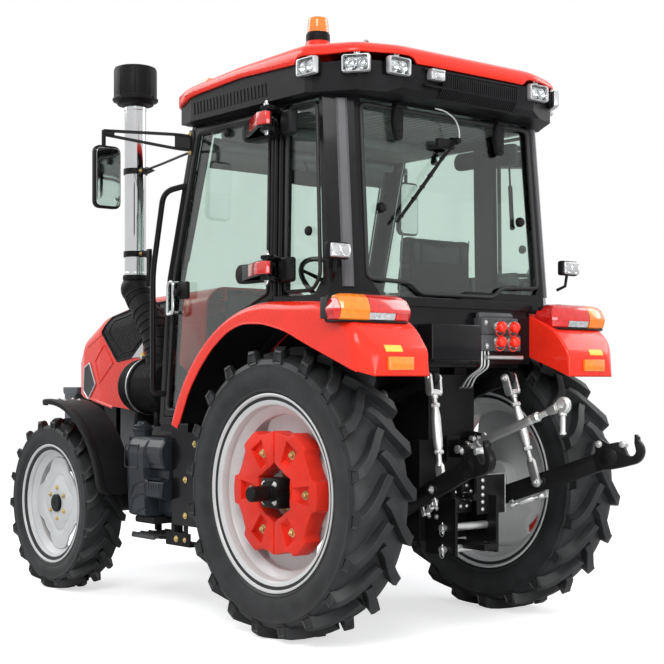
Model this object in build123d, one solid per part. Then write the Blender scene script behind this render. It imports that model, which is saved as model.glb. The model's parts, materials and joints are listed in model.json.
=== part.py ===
"""Farm tractor with a cab, four-wheel drive and a rear three-point linkage.

Frame: +X forward, +Y left, +Z up, in millimetres. Everything is laid out from the point on the
ground under the rear axle, then moved so that the origin lies under the middle of the whole machine.
"""
from build123d import *
import math
import os

# ---------------------------------------------------------------- driving dimensions
WHEELBASE = 2050
FRONT_OVERHANG = 900        # front axle to the front of the ballast weights
GAP = 5                     # clearance between pieces that move past each other
RUN = 0.4                   # running clearance on pins, shafts and hub faces
SKIN = 12                   # bonnet and fender sheet, as a solid

# wheels: overall radius over the lugs, width over the lugs, half track, rim flange radius, tread floor
# radius, lugs on each side and their width around the tyre
REAR = dict(
    radius=670, width=330, half_track=690, flange=455, seat=412, well=372, rim_width=285,
    floor=630, lugs=20, lug=54,
)
FRONT = dict(
    radius=485, width=236, half_track=745, flange=336, seat=305, well=272, rim_width=205,
    floor=453, lugs=18, lug=40,
)
LUG_LEAD = 0.30             # how far a lug's outer end runs ahead of its inner end, in radians
LUG_BEND = (0.55, 0.68)     # where it bends: share of the half width, share of the lead
LUG_DROP = 26               # from the tread's radius down to the lug's top at the shoulder
RIM_WALL = 10
REAR_DISC_OFFSET = 20       # disc centre plane, outward from the middle of the wheel
FRONT_DISC_OFFSET = 45
DISC_THICK = 14
WEIGHT_RADIUS = 312
WEIGHT_BORE = 118
WEIGHT_THICK = 92
AXLE_SHAFT_R = 36
AXLE_END = 945              # half width over the ends of the rear axle shafts

# steering
KINGPIN_Y = 555
KINGPIN_R = 62
FENDER_FRONT_R = 580        # inside radius of the front fender about the wheel centre
FENDER_FRONT_THICK = 10
FENDER_FRONT_INNER = 655    # half width to the fender's inner edge
FENDER_FRONT_ENDS = (172, 126, 80)   # degrees from forward: rear end, middle, front end
FENDER_SWEEP = 665          # how far behind the front axle its wheels and fenders reach at full lock

# cab
CAB_LOW_Z = 960             # underside of the cab walls, level with the floor plate
CAB_TOP_Z = 2470
CAB_MID_Z = 1710            # the level at which the front wall bends
CAB_LOW_HALF = 725          # half width at the underside
CAB_TOP_HALF = 700
CAB_FRONT_LOW = 1092        # front wall at the underside, ahead of the rear axle
CAB_FRONT_MID = 1035
CAB_FRONT_TOP = 820
CAB_REAR_LOW = -421         # rear wall at the underside
CAB_REAR_TOP = -300
CAB_CORNER = (85, 115)      # how far the rear corners are cut off, along X and along Y
CAB_WALL = 46               # pillars, rails and doors
GLASS = 8
FLOOR_THICK = 40
FLOOR_HALF = 440            # half width of the floor between the wheel arches
PLATFORM_Z = 1285           # raised floor over the rear axle
PLATFORM_FRONT = 250
REAR_PANEL = (-405, -345)   # the upright panel under the rear window, X
REAR_PANEL_LOW = 1262
HINGE_PIN = (-30, 870)      # X, Y of the door hinge pins
HINGE_HEIGHTS = (2365, 1690)

# rear fender, about the rear axle
FENDER_R = 875              # outside radius of its round front part
FENDER_LIP_R = 800          # radius of the lower edge at its front end
FENDER_START = 20           # degrees above forward at which it begins
FENDER_OUTER = 840          # half width over the fenders
FENDER_INNER = 460
FENDER_REAR_X = -660
FENDER_BACK = (             # the top from over the axle to the tail: X, Z
    (20, 1544), (-324, 1531), (-440, 1490), (-575, 1425), (FENDER_REAR_X, 1310), (FENDER_REAR_X, 1200),
)
FENDER_LIP = (              # the lower edge from the tail to the front end: X, Z
    (-583, 1231), (-434, 1286), (-279, 1343), (-117, 1408), (50, 1444), (206, 1449), (327, 1415),
    (451, 1340), (562, 1240), (655, 1129),
)

# roof
ROOF_HALF = 790
ROOF_FRONT = 960
ROOF_REAR = -470
ROOF_TRIM_TOP = 2600        # where the black rim ends and the painted shell begins
ROOF_WALL = 25
ROOF_LAP = 15               # how far the rim stands in from the edge of the shell

# ballast and bonnet
FRONT_REACH = WHEELBASE + FRONT_OVERHANG
WEIGHT_DEPTH = 215
WEIGHT_PITCH = 92
CARRIER_THICK = 45
BONNET_REAR = 1190
BONNET_NOSE = FRONT_REACH - WEIGHT_DEPTH - 60
# bonnet sections: X, half width, side foot Z, top Z, corner radius
BONNET_SECTIONS = (
    (BONNET_REAR, 368, 1000, 1695, 130),
    (WHEELBASE - 200, 362, 1000, 1672, 130),
    (BONNET_NOSE - 315, 345, 1040, 1578, 120),
    (BONNET_NOSE - 85, 322, 1075, 1470, 110),
    (BONNET_NOSE, 296, 1100, 1372, 90),
)
# the mesh panel in each side: X, Z
BONNET_MESH = (
    (1560, 1635), (WHEELBASE - 60, 1608), (BONNET_NOSE - 413, 1562), (BONNET_NOSE - 347, 1473),
    (BONNET_NOSE - 537, 1297), (BONNET_NOSE - 713, 1318), (BONNET_NOSE - 845, 1412), (1600, 1440),
    (1540, 1520),
)
BONNET_HINGE = (1225, 1640)  # X, Z of the hinge line
BONNET_PIN_R = 12
BONNET_EAR = 225            # half way out to the bonnet's hinge ears

# linkage
ROCKSHAFT = (-150, 1110)     # X, Z
ROCKSHAFT_R = 34
ARM_TIP = (-465, 1195)       # X, Z of the pin at the end of each lift arm
ARM_Y = 251
ARM_HALF = 17
ROD_PIN_R = 12
LINK_FOOT = (-150, 225, 540)  # X, Y, Z of each lower link's front ball
LINK_PIN_R = 15
LINK_BALL_R = 34
ROD_FOOT_X = -584            # where each lift rod meets its lower link
ROD_STAND_OFF = 13           # from the link's face to the rod's eye
LINK_THICK = 24
HOOK = (-1016, 481, 858)
HOOK_R = 62
TOP_LINK_FRONT = (-425, 0, 861)
TOP_LINK_REAR = (-1023, 0, 1074)
TOP_LINK_PIN_R = 12
TOP_LINK_EYE = 16            # half width of the ball in each eye
PTO_R = 17.5
PTO_Z = 640
PTO_END_X = -430
DRAWBAR_PIN_X = -545
DRAWBAR_PIN_R = 13

REAR_REACH = -(HOOK[0] - HOOK_R)                # rear axle to the backs of the hooks
CENTRE_X = (FRONT_REACH - REAR_REACH) / 2       # middle of the machine, ahead of the rear axle


# ---------------------------------------------------------------- small builders
def block(x0, x1, y0, y1, z0, z1):
    """A box between two corners, given in either order."""
    size = (abs(x1 - x0), abs(y1 - y0), abs(z1 - z0))
    return Pos((x0 + x1) / 2, (y0 + y1) / 2, (z0 + z1) / 2) * Box(*size)


def rod(start, end, radius, end_radius=None):
    """A round bar between two points."""
    a, b = Vector(*start), Vector(*end)
    plane = Plane(origin=a, z_dir=b - a)
    if end_radius is None:
        return extrude(plane * Circle(radius), (b - a).length)
    top = Plane(origin=b, z_dir=b - a)
    return loft([plane * Circle(radius), top * Circle(end_radius)])


def bar(start, end, width, depth):
    """A flat bar between two points: width across the side view, depth along Y."""
    a, b = Vector(*start), Vector(*end)
    along = b - a
    plane = Plane(origin=a, x_dir=along.cross(Vector(0, 1, 0)), z_dir=along)
    return extrude(plane * Rectangle(width, depth), along.length)


def face_of(edges):
    return make_face(Wire(edges).edges())


def prism_xz(points, y0, y1):
    """A side view outline, as X, Z points, carried from y0 to y1."""
    ring = Polyline(*[(x, y0, z) for x, z in points], close=True)
    return extrude(make_face(ring.edges()), amount=y1 - y0, dir=(0, 1, 0))


def prism_yz(points, x0, x1):
    ring = Polyline(*[(x0, y, z) for y, z in points], close=True)
    return extrude(make_face(ring.edges()), amount=x1 - x0, dir=(1, 0, 0))


def prism_xy(points, z0, z1):
    ring = Polyline(*[(x, y, z0) for x, y in points], close=True)
    return extrude(make_face(ring.edges()), amount=z1 - z0, dir=(0, 0, 1))


def both(shape):
    """The shape and its mirror image on the other side."""
    return shape + shape.mirror(Plane.XZ)


def other(shape):
    return shape.mirror(Plane.XZ)


def ring_y(profile):
    """A turned piece about Y, from an outline of Y, radius points."""
    ring = Polyline(*[(r, y, 0) for y, r in profile], close=True)
    return revolve(make_face(ring.edges()), axis=Axis.Y)


# ---------------------------------------------------------------- wheels
def around(radius, across, angle):
    """A point about the wheel centre, from its radius, its place across and its angle."""
    return (radius * math.cos(angle), across, radius * math.sin(angle))


def facet(*points):
    return Face(Wire.make_polygon([Vector(*point) for point in points], close=True))


def split(a, b, c, d):
    """Four points that don't lie in one plane, as two facets."""
    return [facet(a, b, c), facet(a, c, d)]


def tyre(size):
    """A tyre in flat facets, about the wheel centre: lugs sweep out from its middle on each side."""
    half, top, floor = size["width"] / 2, size["radius"], size["floor"]
    bead = size["rim_width"] / 2 - 12
    pitch = 2 * math.pi / size["lugs"]
    half_lug = size["lug"] / 2 / top
    bend_out, bend_lead = LUG_BEND
    # along a lug: out from the middle, lead, top radius, floor radius, half its angle
    stations = (
        (0, 0, top - 3, floor, half_lug),
        (half * bend_out, LUG_LEAD * bend_lead, top, floor - 2, half_lug),
        (half, LUG_LEAD, top - LUG_DROP, floor - LUG_DROP, half_lug),
    )
    # down the side wall: out from the middle, radius
    seat = size["seat"] / math.cos(pitch / 4)
    wall = ((half * 0.985, (floor + size["flange"]) / 2), (bead + 1, size["flange"] + 5), (bead, seat))
    # a lug's corner stands straight under the axle
    phase = half_lug - math.pi / 2 - LUG_LEAD * bend_lead
    faces = []
    for hand, offset in ((1, 0), (-1, pitch / 2)):
        for n in range(size["lugs"]):
            middle = phase + offset + n * pitch
            foot, crest, ahead = [], [], []
            for out, lead, high, low, spread in stations:
                sides = [middle + lead - spread, middle + lead + spread]
                foot.append([around(low, hand * out, angle) for angle in sides])
                crest.append([around(high, hand * out, angle) for angle in sides])
                ahead.append(around(low, hand * out, sides[0] + pitch))
            for i in (0, 1):
                faces += split(crest[i][0], crest[i][1], crest[i + 1][1], crest[i + 1][0])
                faces += split(foot[i][0], crest[i][0], crest[i + 1][0], foot[i + 1][0])
                faces += split(foot[i][1], crest[i][1], crest[i + 1][1], foot[i + 1][1])
            for i in (0, 2):
                faces.append(facet(foot[i][0], foot[i][1], crest[i][1], crest[i][0]))
            # the floor up to the next lug, past the foot of the other side's lug
            opposite = [around(floor, 0, middle + pitch / 2 + turn * half_lug) for turn in (-1, 1)]
            edge = [foot[0][1], *opposite, ahead[0], ahead[1]]
            faces += [facet(near, far, foot[1][1]) for near, far in zip(edge, edge[1:])]
            faces += split(foot[1][1], ahead[1], ahead[2], foot[2][1])
            # the side wall under the lug and under the gap
            for i, upper in enumerate(((foot[2][0], foot[2][1]), (foot[2][1], ahead[2]))):
                turns = [middle + LUG_LEAD + (i + k - 0.5) * pitch / 2 for k in (0, 1)]
                for out, radius in wall:
                    lower = [around(radius, hand * out, angle) for angle in turns]
                    faces.append(facet(upper[0], upper[1], lower[1], lower[0]))
                    upper = lower
                if hand > 0:
                    far = [around(seat, -bead, angle) for angle in turns]
                    faces.append(facet(upper[0], upper[1], far[1], far[0]))
    return Solid(Shell(faces))


def rim(size, disc_offset, hub_bore, windows, window_r):
    """A pressed rim and its disc, with the outer side towards +Y."""
    half = size["rim_width"] / 2
    flange, seat, well = size["flange"], size["seat"], size["well"]
    in_seat, in_well = seat - RIM_WALL, well - RIM_WALL
    barrel = ring_y([
        (-half, flange), (-half + RIM_WALL, flange), (-half + RIM_WALL, seat),
        (-half * 0.45, seat), (-half * 0.3, well), (half * 0.3, well),
        (half * 0.45, seat), (half - RIM_WALL, seat), (half - RIM_WALL, flange),
        (half, flange), (half, in_seat), (half * 0.5, in_seat),
        (half * 0.36, in_well), (-half * 0.36, in_well), (-half * 0.5, in_seat),
        (-half, in_seat),
    ])
    inner = in_well if abs(disc_offset) < half * 0.36 else in_seat
    y0, y1 = disc_offset - DISC_THICK / 2, disc_offset + DISC_THICK / 2
    disc = ring_y([(y0, hub_bore), (y1, hub_bore), (y1, inner), (y0, inner)])
    for n in range(windows):
        angle = 2 * math.pi * (n + 0.5) / windows
        hole = rod(
            (window_r * math.cos(angle), y0 - 5, window_r * math.sin(angle)),
            (window_r * math.cos(angle), y1 + 5, window_r * math.sin(angle)),
            inner * 0.17,
        )
        disc -= hole
    return barrel + disc


def at_wheel(shape, size, x):
    return Pos(x, size["half_track"], size["radius"]) * shape


HUB_FLANGE_R = 96
SHAFT_START = 520           # half width at the ends of the rear axle housings


def rear_wheel():
    wheel_tyre = tyre(REAR)
    wheel_rim = rim(REAR, REAR_DISC_OFFSET, HUB_FLANGE_R - 30, 4, 318)
    disc_face = REAR_DISC_OFFSET + DISC_THICK / 2
    weights = ring_y([
        (disc_face, WEIGHT_BORE), (disc_face + WEIGHT_THICK, WEIGHT_BORE),
        (disc_face + WEIGHT_THICK, WEIGHT_RADIUS - 30), (disc_face + WEIGHT_THICK - 34, WEIGHT_RADIUS),
        (disc_face, WEIGHT_RADIUS),
    ])
    weights -= block(-3, 3, 0, 400, -WEIGHT_RADIUS, WEIGHT_RADIUS)
    middle = REAR["half_track"]
    hub = rod((0, REAR_DISC_OFFSET - 60, 0), (0, REAR_DISC_OFFSET - DISC_THICK / 2, 0), HUB_FLANGE_R)
    hub += rod((0, REAR_DISC_OFFSET - 60, 0), (0, AXLE_END - 100 - middle, 0), HUB_FLANGE_R - 30)
    hub += rod((0, SHAFT_START + RUN - middle, 0), (0, AXLE_END - middle, 0), AXLE_SHAFT_R)
    return wheel_tyre, wheel_rim + hub, weights


def front_wheel():
    wheel_tyre = tyre(FRONT)
    wheel_rim = rim(FRONT, FRONT_DISC_OFFSET, 40, 0, 0)
    inner = FRONT_DISC_OFFSET - DISC_THICK / 2
    hub = rod((0, -70, 0), (0, inner, 0), 78)
    hub += rod((0, inner, 0), (0, inner + DISC_THICK + 22, 0), 40)
    return wheel_tyre, wheel_rim + hub


# ---------------------------------------------------------------- front axle and steering
def front_axle():
    z = FRONT["radius"]
    beam = rod((WHEELBASE, -440, z), (WHEELBASE, 440, z), 70)
    beam += Pos(WHEELBASE, 60, z) * Sphere(125)
    beam += block(WHEELBASE - 60, WHEELBASE + 60, -70, 70, z, FRAME_LOW)
    for side in (1, -1):
        beam += block(WHEELBASE - 45, WHEELBASE + 45, side * 420, side * 455, z - 120, z + 120)
        for low, high in ((z - 120, z - 95), (z + 95, z + 120)):
            beam += block(WHEELBASE - 45, WHEELBASE + 45, side * 420, side * 520, low, high)
            beam += rod((WHEELBASE, side * KINGPIN_Y, low), (WHEELBASE, side * KINGPIN_Y, high), 32)
            beam += block(WHEELBASE - 32, WHEELBASE + 32, side * 500, side * KINGPIN_Y, low, high)
    return beam


FRAME_LOW = 640
FRAME_HIGH = 760


def knuckle():
    """The left steering housing: kingpin, drive hub and the stay of the fender."""
    z = FRONT["radius"]
    body = rod((WHEELBASE, KINGPIN_Y, z - 95 + RUN), (WHEELBASE, KINGPIN_Y, z + 95 - RUN), KINGPIN_R)
    hub_end = FRONT["half_track"] - 70 - RUN
    body += rod((WHEELBASE, KINGPIN_Y, z), (WHEELBASE, hub_end, z), 74)
    stay_y = (KINGPIN_Y + KINGPIN_R - 24, KINGPIN_Y + KINGPIN_R - 8)
    stay_half = 28
    top = z + FENDER_FRONT_R + FENDER_FRONT_THICK / 2
    body += block(WHEELBASE - stay_half, WHEELBASE + stay_half, *stay_y, z + 40, top)
    return body + block(WHEELBASE - stay_half, WHEELBASE + stay_half, stay_y[0],
                        FRONT["half_track"] + 60, top - 17, top)


def front_fender():
    """A curved sheet over the left front wheel, carried by the knuckle's stay."""
    z, inner = FRONT["radius"], FENDER_FRONT_R
    outer = inner + FENDER_FRONT_THICK
    y0, y1 = FENDER_FRONT_INNER, FRONT["half_track"] + FRONT["width"] / 2 + 4

    def at(radius, degrees):
        angle = math.radians(degrees)
        return (WHEELBASE + radius * math.cos(angle), y0, z + radius * math.sin(angle))

    low, mid, high = FENDER_FRONT_ENDS
    edges = [
        ThreePointArc(at(outer, low), at(outer, mid), at(outer, high)),
        Line(at(outer, high), at(inner, high)),
        ThreePointArc(at(inner, high), at(inner, mid), at(inner, low)),
        Line(at(inner, low), at(outer, low)),
    ]
    return extrude(face_of(edges), amount=y1 - y0, dir=(0, 1, 0))


# ---------------------------------------------------------------- driveline and frame
GEARBOX_FRONT = 1120
ENGINE_FRONT = WHEELBASE + 250


def engine():
    """The engine as one plain block with its sump and silencer."""
    shape = block(GEARBOX_FRONT, ENGINE_FRONT, -235, 235, FRAME_HIGH, 1360)
    shape += block(GEARBOX_FRONT, WHEELBASE - 190, -150, 150, 520, FRAME_HIGH)
    x, z = BONNET_HINGE
    shape += block(x - 25, x + 25, -200, 200, 1360, z + 10)
    shape += rod((x, -BONNET_EAR - 22, z), (x, BONNET_EAR + 22, z), BONNET_PIN_R)
    return shape + exhaust()


def gearbox():
    """Gearbox, rear axle housings, lift housing and what is bolted to their back."""
    case = block(-300, GEARBOX_FRONT, -180, 180, 430, 905)
    for side in (1, -1):
        case += rod((0, side * 170, REAR["radius"]), (0, side * SHAFT_START, REAR["radius"]), 150, 95)
    case += block(-330, -60, -150, 150, 905, 1210)
    case -= rod((ROCKSHAFT[0], -200, ROCKSHAFT[1]), (ROCKSHAFT[0], 200, ROCKSHAFT[1]), ROCKSHAFT_R + RUN)
    for side in (1, -1):  # the cab's four rubber mounts
        case += block(300, 380, side * 90, side * 170, 905, CAB_LOW_Z - FLOOR_THICK)
        case += block(960, 1040, side * 90, side * 170, 905, CAB_LOW_Z - FLOOR_THICK)
        case += block(-300, -220, side * 50, side * 130, 1210, PLATFORM_Z - FLOOR_THICK)
    case += block(-398, -300, -70, 70, 560, 720)
    case += rod((-398, 0, PTO_Z), (PTO_END_X - 60, 0, PTO_Z), PTO_R)
    x, _, z = TOP_LINK_FRONT
    for side in (1, -1):
        y0, y1 = side * (TOP_LINK_EYE + 2), side * (TOP_LINK_EYE + 16)
        case += block(-345, x, y0, y1, z - 40, z + 40) + rod((x, y0, z), (x, y1, z), 40)
        case += block(-345, -300, -45, 45, z - 60, z + 60)
        foot = LINK_FOOT[1] * side
        pin_x, pin_z = LINK_FOOT[0], LINK_FOOT[2]
        collar_end = foot - side * (LINK_BALL_R + RUN)
        case += rod((pin_x, side * 170, pin_z), (pin_x, foot + side * 44, pin_z), LINK_PIN_R)
        case += rod((pin_x, side * 170, pin_z), (pin_x, collar_end, pin_z), 34)
    case += rod((x, -TOP_LINK_EYE - 16, z), (x, TOP_LINK_EYE + 16, z), TOP_LINK_PIN_R)
    return case


def front_frame():
    """Two side rails ahead of the engine, the axle bridge and the ballast carrier."""
    carrier = FRONT_REACH - WEIGHT_DEPTH
    rails = block(WHEELBASE - 190, carrier - 15, 150, 205, FRAME_LOW, FRAME_HIGH)
    rails = both(rails)
    rails += block(WHEELBASE - 90, WHEELBASE + 90, -205, 205, FRAME_LOW, FRAME_HIGH)
    rails += block(carrier - CARRIER_THICK, carrier, -260, 260, 560, 940)
    rails += block(ENGINE_FRONT, ENGINE_FRONT + 240, -205, 205, FRAME_HIGH - 20, FRAME_HIGH)
    rails += block(ENGINE_FRONT + 60, ENGINE_FRONT + 200, -230, 230, FRAME_HIGH, 1340)
    return rails


def front_weights():
    """A row of ballast plates hooked on the carrier, with their top lips."""
    back, front = FRONT_REACH - WEIGHT_DEPTH, FRONT_REACH
    outline = [
        (back, 620), (back, 900), (back + 65, 960), (back + 65, 1080), (back + 35, 1100),
        (back + 35, 1140), (front, 1140), (front, 1108), (front - 20, 1090), (front - 20, 640),
        (front - 60, 600), (back + 25, 600),
    ]
    half_tie = WEIGHT_PITCH * 3 + 20
    shape = rod((front - 90, -half_tie, 800), (front - 90, half_tie, 800), 14)
    for place in (-2.5, -1.5, -0.5, 0.5, 1.5, 2.5):
        y = place * WEIGHT_PITCH
        shape += prism_xz(outline, y - WEIGHT_PITCH / 2 + 2, y + WEIGHT_PITCH / 2 - 2)
    return shape


# ---------------------------------------------------------------- bonnet
def bonnet_body(shrink):
    """The bonnet's outside, or the space inside it when shrink is the sheet's thickness."""
    sections = []
    for n, (x, half, foot, top, radius) in enumerate(BONNET_SECTIONS):
        if n == len(BONNET_SECTIONS) - 1:
            x -= shrink
        if n == 0:
            x -= shrink
        half, top, low = half - shrink, top - shrink, foot - shrink * 2
        corner = radius - shrink
        bend = corner * (1 - math.sqrt(0.5))
        edges = [
            Line((x, -half, low), (x, half, low)),
            Line((x, half, low), (x, half, top - corner)),
            ThreePointArc((x, half, top - corner), (x, half - bend, top - bend), (x, half - corner, top)),
            Line((x, half - corner, top), (x, -half + corner, top)),
            ThreePointArc((x, -half + corner, top), (x, -half + bend, top - bend), (x, -half, top - corner)),
            Line((x, -half, top - corner), (x, -half, low)),
        ]
        sections.append(face_of(edges))
    return loft(sections, ruled=True)


def bonnet():
    shell = bonnet_body(0) - bonnet_body(SKIN)
    shell -= grille_space(0)
    shell -= both(mesh_space())
    x, z = BONNET_HINGE
    for side in (1, -1):
        y0, y1 = side * (BONNET_EAR - 8), side * (BONNET_EAR + 8)
        shell += block(x - 22, x + 22, y0, y1, z - 22, 1690)
        shell -= rod((x, y0 - side * 5, z), (x, y1 + side * 5, z), BONNET_PIN_R + RUN)
    return shell


def grille_space(gap):
    x_nose = BONNET_SECTIONS[-1][0]
    return block(x_nose - 40 + gap, x_nose + 40, -240 + gap, 240 - gap, 1105 + gap, 1290 - gap)


def mesh_space():
    return prism_xz(BONNET_MESH, BONNET_SECTIONS[-1][1] - 100, BONNET_SECTIONS[0][1] + 20)


def grille():
    """A mesh plate with bars in the nose of the bonnet, and a mesh panel in each of its sides."""
    x_nose = BONNET_SECTIONS[-1][0]
    plate = block(x_nose - SKIN, x_nose, -240, 240, 1105, 1290)
    for n in range(5):
        z = 1125 + n * 36
        plate += block(x_nose, x_nose + 8, -225, 225, z, z + 12)
    panel = (bonnet_body(2) - bonnet_body(SKIN - 2)) & mesh_space()
    return plate + both(panel)


# ---------------------------------------------------------------- cab
def cab_box(shrink):
    """The cab's outside with its bent front and cut rear corners, or the space inside it."""
    cut_x, cut_y = CAB_CORNER
    sections = []
    for z, front in ((CAB_LOW_Z, CAB_FRONT_LOW), (CAB_MID_Z, CAB_FRONT_MID), (CAB_TOP_Z, CAB_FRONT_TOP)):
        share = (z - CAB_LOW_Z) / (CAB_TOP_Z - CAB_LOW_Z)
        x0 = CAB_REAR_LOW + (CAB_REAR_TOP - CAB_REAR_LOW) * share + shrink
        x1 = front - shrink
        half = CAB_LOW_HALF + (CAB_TOP_HALF - CAB_LOW_HALF) * share - shrink
        ring = Polyline(
            (x1, half, z), (x0 + cut_x, half, z), (x0, half - cut_y, z), (x0, -half + cut_y, z),
            (x0 + cut_x, -half, z), (x1, -half, z), close=True,
        )
        sections.append(make_face(ring.edges()))
    return loft(sections, ruled=True)


CAB_HEIGHT = CAB_TOP_Z - CAB_LOW_Z
SIDE_LEAN = math.atan2(CAB_LOW_HALF - CAB_TOP_HALF, CAB_HEIGHT)
REAR_LEAN = math.atan2(CAB_REAR_TOP - CAB_REAR_LOW, CAB_HEIGHT)
# planes of the walls: local x along the wall, local y up, positive extrusion inward
SIDE_PLANE = Plane((0, CAB_LOW_HALF, CAB_LOW_Z), x_dir=(1, 0, 0),
                   z_dir=(0, -math.cos(SIDE_LEAN), -math.sin(SIDE_LEAN)))
REAR_PLANE = Plane((CAB_REAR_LOW, 0, CAB_LOW_Z), x_dir=(0, 1, 0),
                   z_dir=(math.cos(REAR_LEAN), 0, -math.sin(REAR_LEAN)))


def on_wall(plane, lean, points, depth, start=0, corner=0, inset=0):
    """A panel in a cab wall, from across, Z points, with rounded corners and drawn in by inset."""
    ring = Polyline(*[(a, (z - CAB_LOW_Z) / math.cos(lean)) for a, z in points], close=True)
    face = make_face(ring.edges())
    if inset:
        face = offset(face, -inset, kind=Kind.INTERSECTION)
    if corner:
        face = fillet(face.vertices(), corner)
    panel = extrude(plane * face, depth)
    return Pos(*(plane.z_dir * start)) * panel


DOOR_TOP = CAB_TOP_Z - 15
# the door's edge down the front pillar, back along the fender, then up the middle pillar: X, Z
DOOR_OUTLINE = (
    (784, DOOR_TOP), (992, CAB_MID_Z), (1048, 1000), (836, 1000), (733, 1183), (575, 1356),
    (378, 1481), (190, 1548), (133, 1562), (133, DOOR_TOP),
)
QUARTER_OUTLINE = ((50, DOOR_TOP), (50, 1570), (-180, 1570), (-240, 1645), (-196, DOOR_TOP))
# these two are Y, Z
REAR_OUTLINE = ((550, DOOR_TOP), (-550, DOOR_TOP), (-578, 1660), (-545, 1605), (-60, 1605), (-10, 1560),
                (480, 1560), (566, 1670))
FRONT_OUTLINE = ((595, DOOR_TOP), (-595, DOOR_TOP), (-640, 1230), (-560, 1150), (560, 1150), (640, 1230))
DOOR_FRAME = 42
SEAL = 14                   # how deep each pane sits behind the outside of its wall


def fender_front(radius, drop):
    """A point on the fender's front end, or on the space inside it when drop is the sheet's thickness."""
    angle = math.radians(FENDER_START) + drop / radius
    return (radius * math.cos(angle), REAR["radius"] + radius * math.sin(angle))


def fender_crown(y0, drop):
    """The fender's outer line at y0, from its front end over the top to its tail, as edges."""
    front = fender_front(FENDER_R - drop, drop)
    middle = fender_front(FENDER_R - drop, math.radians(35) * FENDER_R)
    back = [(x + drop * (x < -400), z - drop) for x, z in FENDER_BACK]
    points = [(x, y0, z) for x, z in back]
    arc = ThreePointArc((front[0], y0, front[1]), (middle[0], y0, middle[1]), points[0])
    return [arc] + [Line(a, b) for a, b in zip(points, points[1:])]


def fender_face(y0, drop):
    """The fender's side view, or the space inside it, which runs out below the lip."""
    axle = REAR["radius"]
    crown = fender_crown(y0, drop)
    share = 1 - drop * 4 / FENDER_LIP_R
    lip = [(x * share, axle + (z - axle) * share) for x, z in FENDER_LIP]
    lip.append(fender_front(FENDER_LIP_R * share, drop))
    points = [tuple(crown[-1] @ 1)] + [(x, y0, z) for x, z in lip] + [tuple(crown[0] @ 0)]
    return face_of(crown + [Line(a, b) for a, b in zip(points, points[1:])])


def under_fender():
    """All the space that a rear wheel and its fender take, out of the cab's walls and floor."""
    y0 = FENDER_INNER
    crown = fender_crown(y0, 0)
    first, last = crown[0] @ 0, crown[-1] @ 1
    points = [tuple(last), (last.X, y0, 300), (first.X, y0, 300), tuple(first)]
    sides = [Line(a, b) for a, b in zip(points, points[1:])]
    return extrude(face_of(crown + sides), amount=600, dir=(0, 1, 0))


def fender_corner(inset):
    """What is cut off the outer rear corner of the fender, seen from above."""
    x, y = FENDER_REAR_X + 60 + inset * 1.5, FENDER_OUTER
    return prism_xy([(x - 120, y - 130), (x + 36, y + 39), (x - 200, y + 39), (x - 200, y - 130)], 1100, 1700)


def rear_fender():
    """The left rear fender: a curved top sheet with deep side flanges, open underneath."""
    width = FENDER_OUTER - FENDER_INNER
    body = extrude(fender_face(FENDER_INNER, 0), amount=width, dir=(0, 1, 0)) - fender_corner(0)
    hollow = extrude(fender_face(FENDER_INNER + SKIN, SKIN), amount=width - SKIN * 2.5, dir=(0, 1, 0))
    return body - (hollow - fender_corner(SKIN))


def hinge(y_step):
    """The fixed half of the left door's hinges, or the swinging half."""
    x, y = HINGE_PIN
    shape = None
    for z in HINGE_HEIGHTS:
        wall = CAB_LOW_HALF - (z - CAB_LOW_Z) * math.tan(SIDE_LEAN)
        if y_step == "door":
            arm = [
                (x - 22, y - 12), (x - 22, y + 18), (x + 40, y + 22), (320, wall + 42), (320, wall - 4),
                (150, wall - 4), (70, y - 42),
            ]
            piece = prism_xy(arm, z - 34, z + 34)
            piece -= rod((x, y, z - 40), (x, y, z + 40), 9 + RUN)
        else:
            piece = rod((x, y, z - 62), (x, y, z + 62), 9)
            for low in (z - 34 - GAP - 18, z + 34 + GAP):
                ear = [
                    (x - 26, y + 14), (x + 20, y + 20), (112, wall + 10), (112, wall - 4),
                    (56, wall - 4), (x - 30, y - 20),
                ]
                piece += prism_xy(ear, low, low + 18)
        shape = piece if shape is None else shape + piece
    return shape


def front_window():
    """The space of the windscreen, right through the front wall."""
    return prism_yz(FRONT_OUTLINE, CAB_FRONT_TOP - 200, CAB_FRONT_LOW + 100)


def cab_frame():
    walls = cab_box(0) - cab_box(CAB_WALL)
    for panel in (
        on_wall(SIDE_PLANE, SIDE_LEAN, DOOR_OUTLINE, CAB_WALL * 3, -CAB_WALL, inset=-GAP),
        on_wall(SIDE_PLANE, SIDE_LEAN, QUARTER_OUTLINE, CAB_WALL * 3, -CAB_WALL),
    ):
        walls -= both(panel)
    walls -= on_wall(REAR_PLANE, REAR_LEAN, REAR_OUTLINE, CAB_WALL * 3, -CAB_WALL)
    walls -= front_window()
    walls -= both(under_fender())
    walls -= block(-700, PLATFORM_FRONT, -FENDER_INNER, FENDER_INNER, 900, 1548)
    walls += block(*REAR_PANEL, -FENDER_INNER, FENDER_INNER, REAR_PANEL_LOW, 1560)
    walls += block(REAR_PANEL[0] - 20, REAR_PANEL[0], -FENDER_INNER, FENDER_INNER, 1520, 1560)
    return walls + both(hinge("cab"))


def cab_windows():
    """The fixed panes: windscreen, rear window and the two behind the doors."""
    panes = (cab_box(SEAL) - cab_box(SEAL + GLASS)) & front_window()
    panes += on_wall(REAR_PLANE, REAR_LEAN, REAR_OUTLINE, GLASS, SEAL)
    return panes + both(on_wall(SIDE_PLANE, SIDE_LEAN, QUARTER_OUTLINE, GLASS, SEAL))


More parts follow.
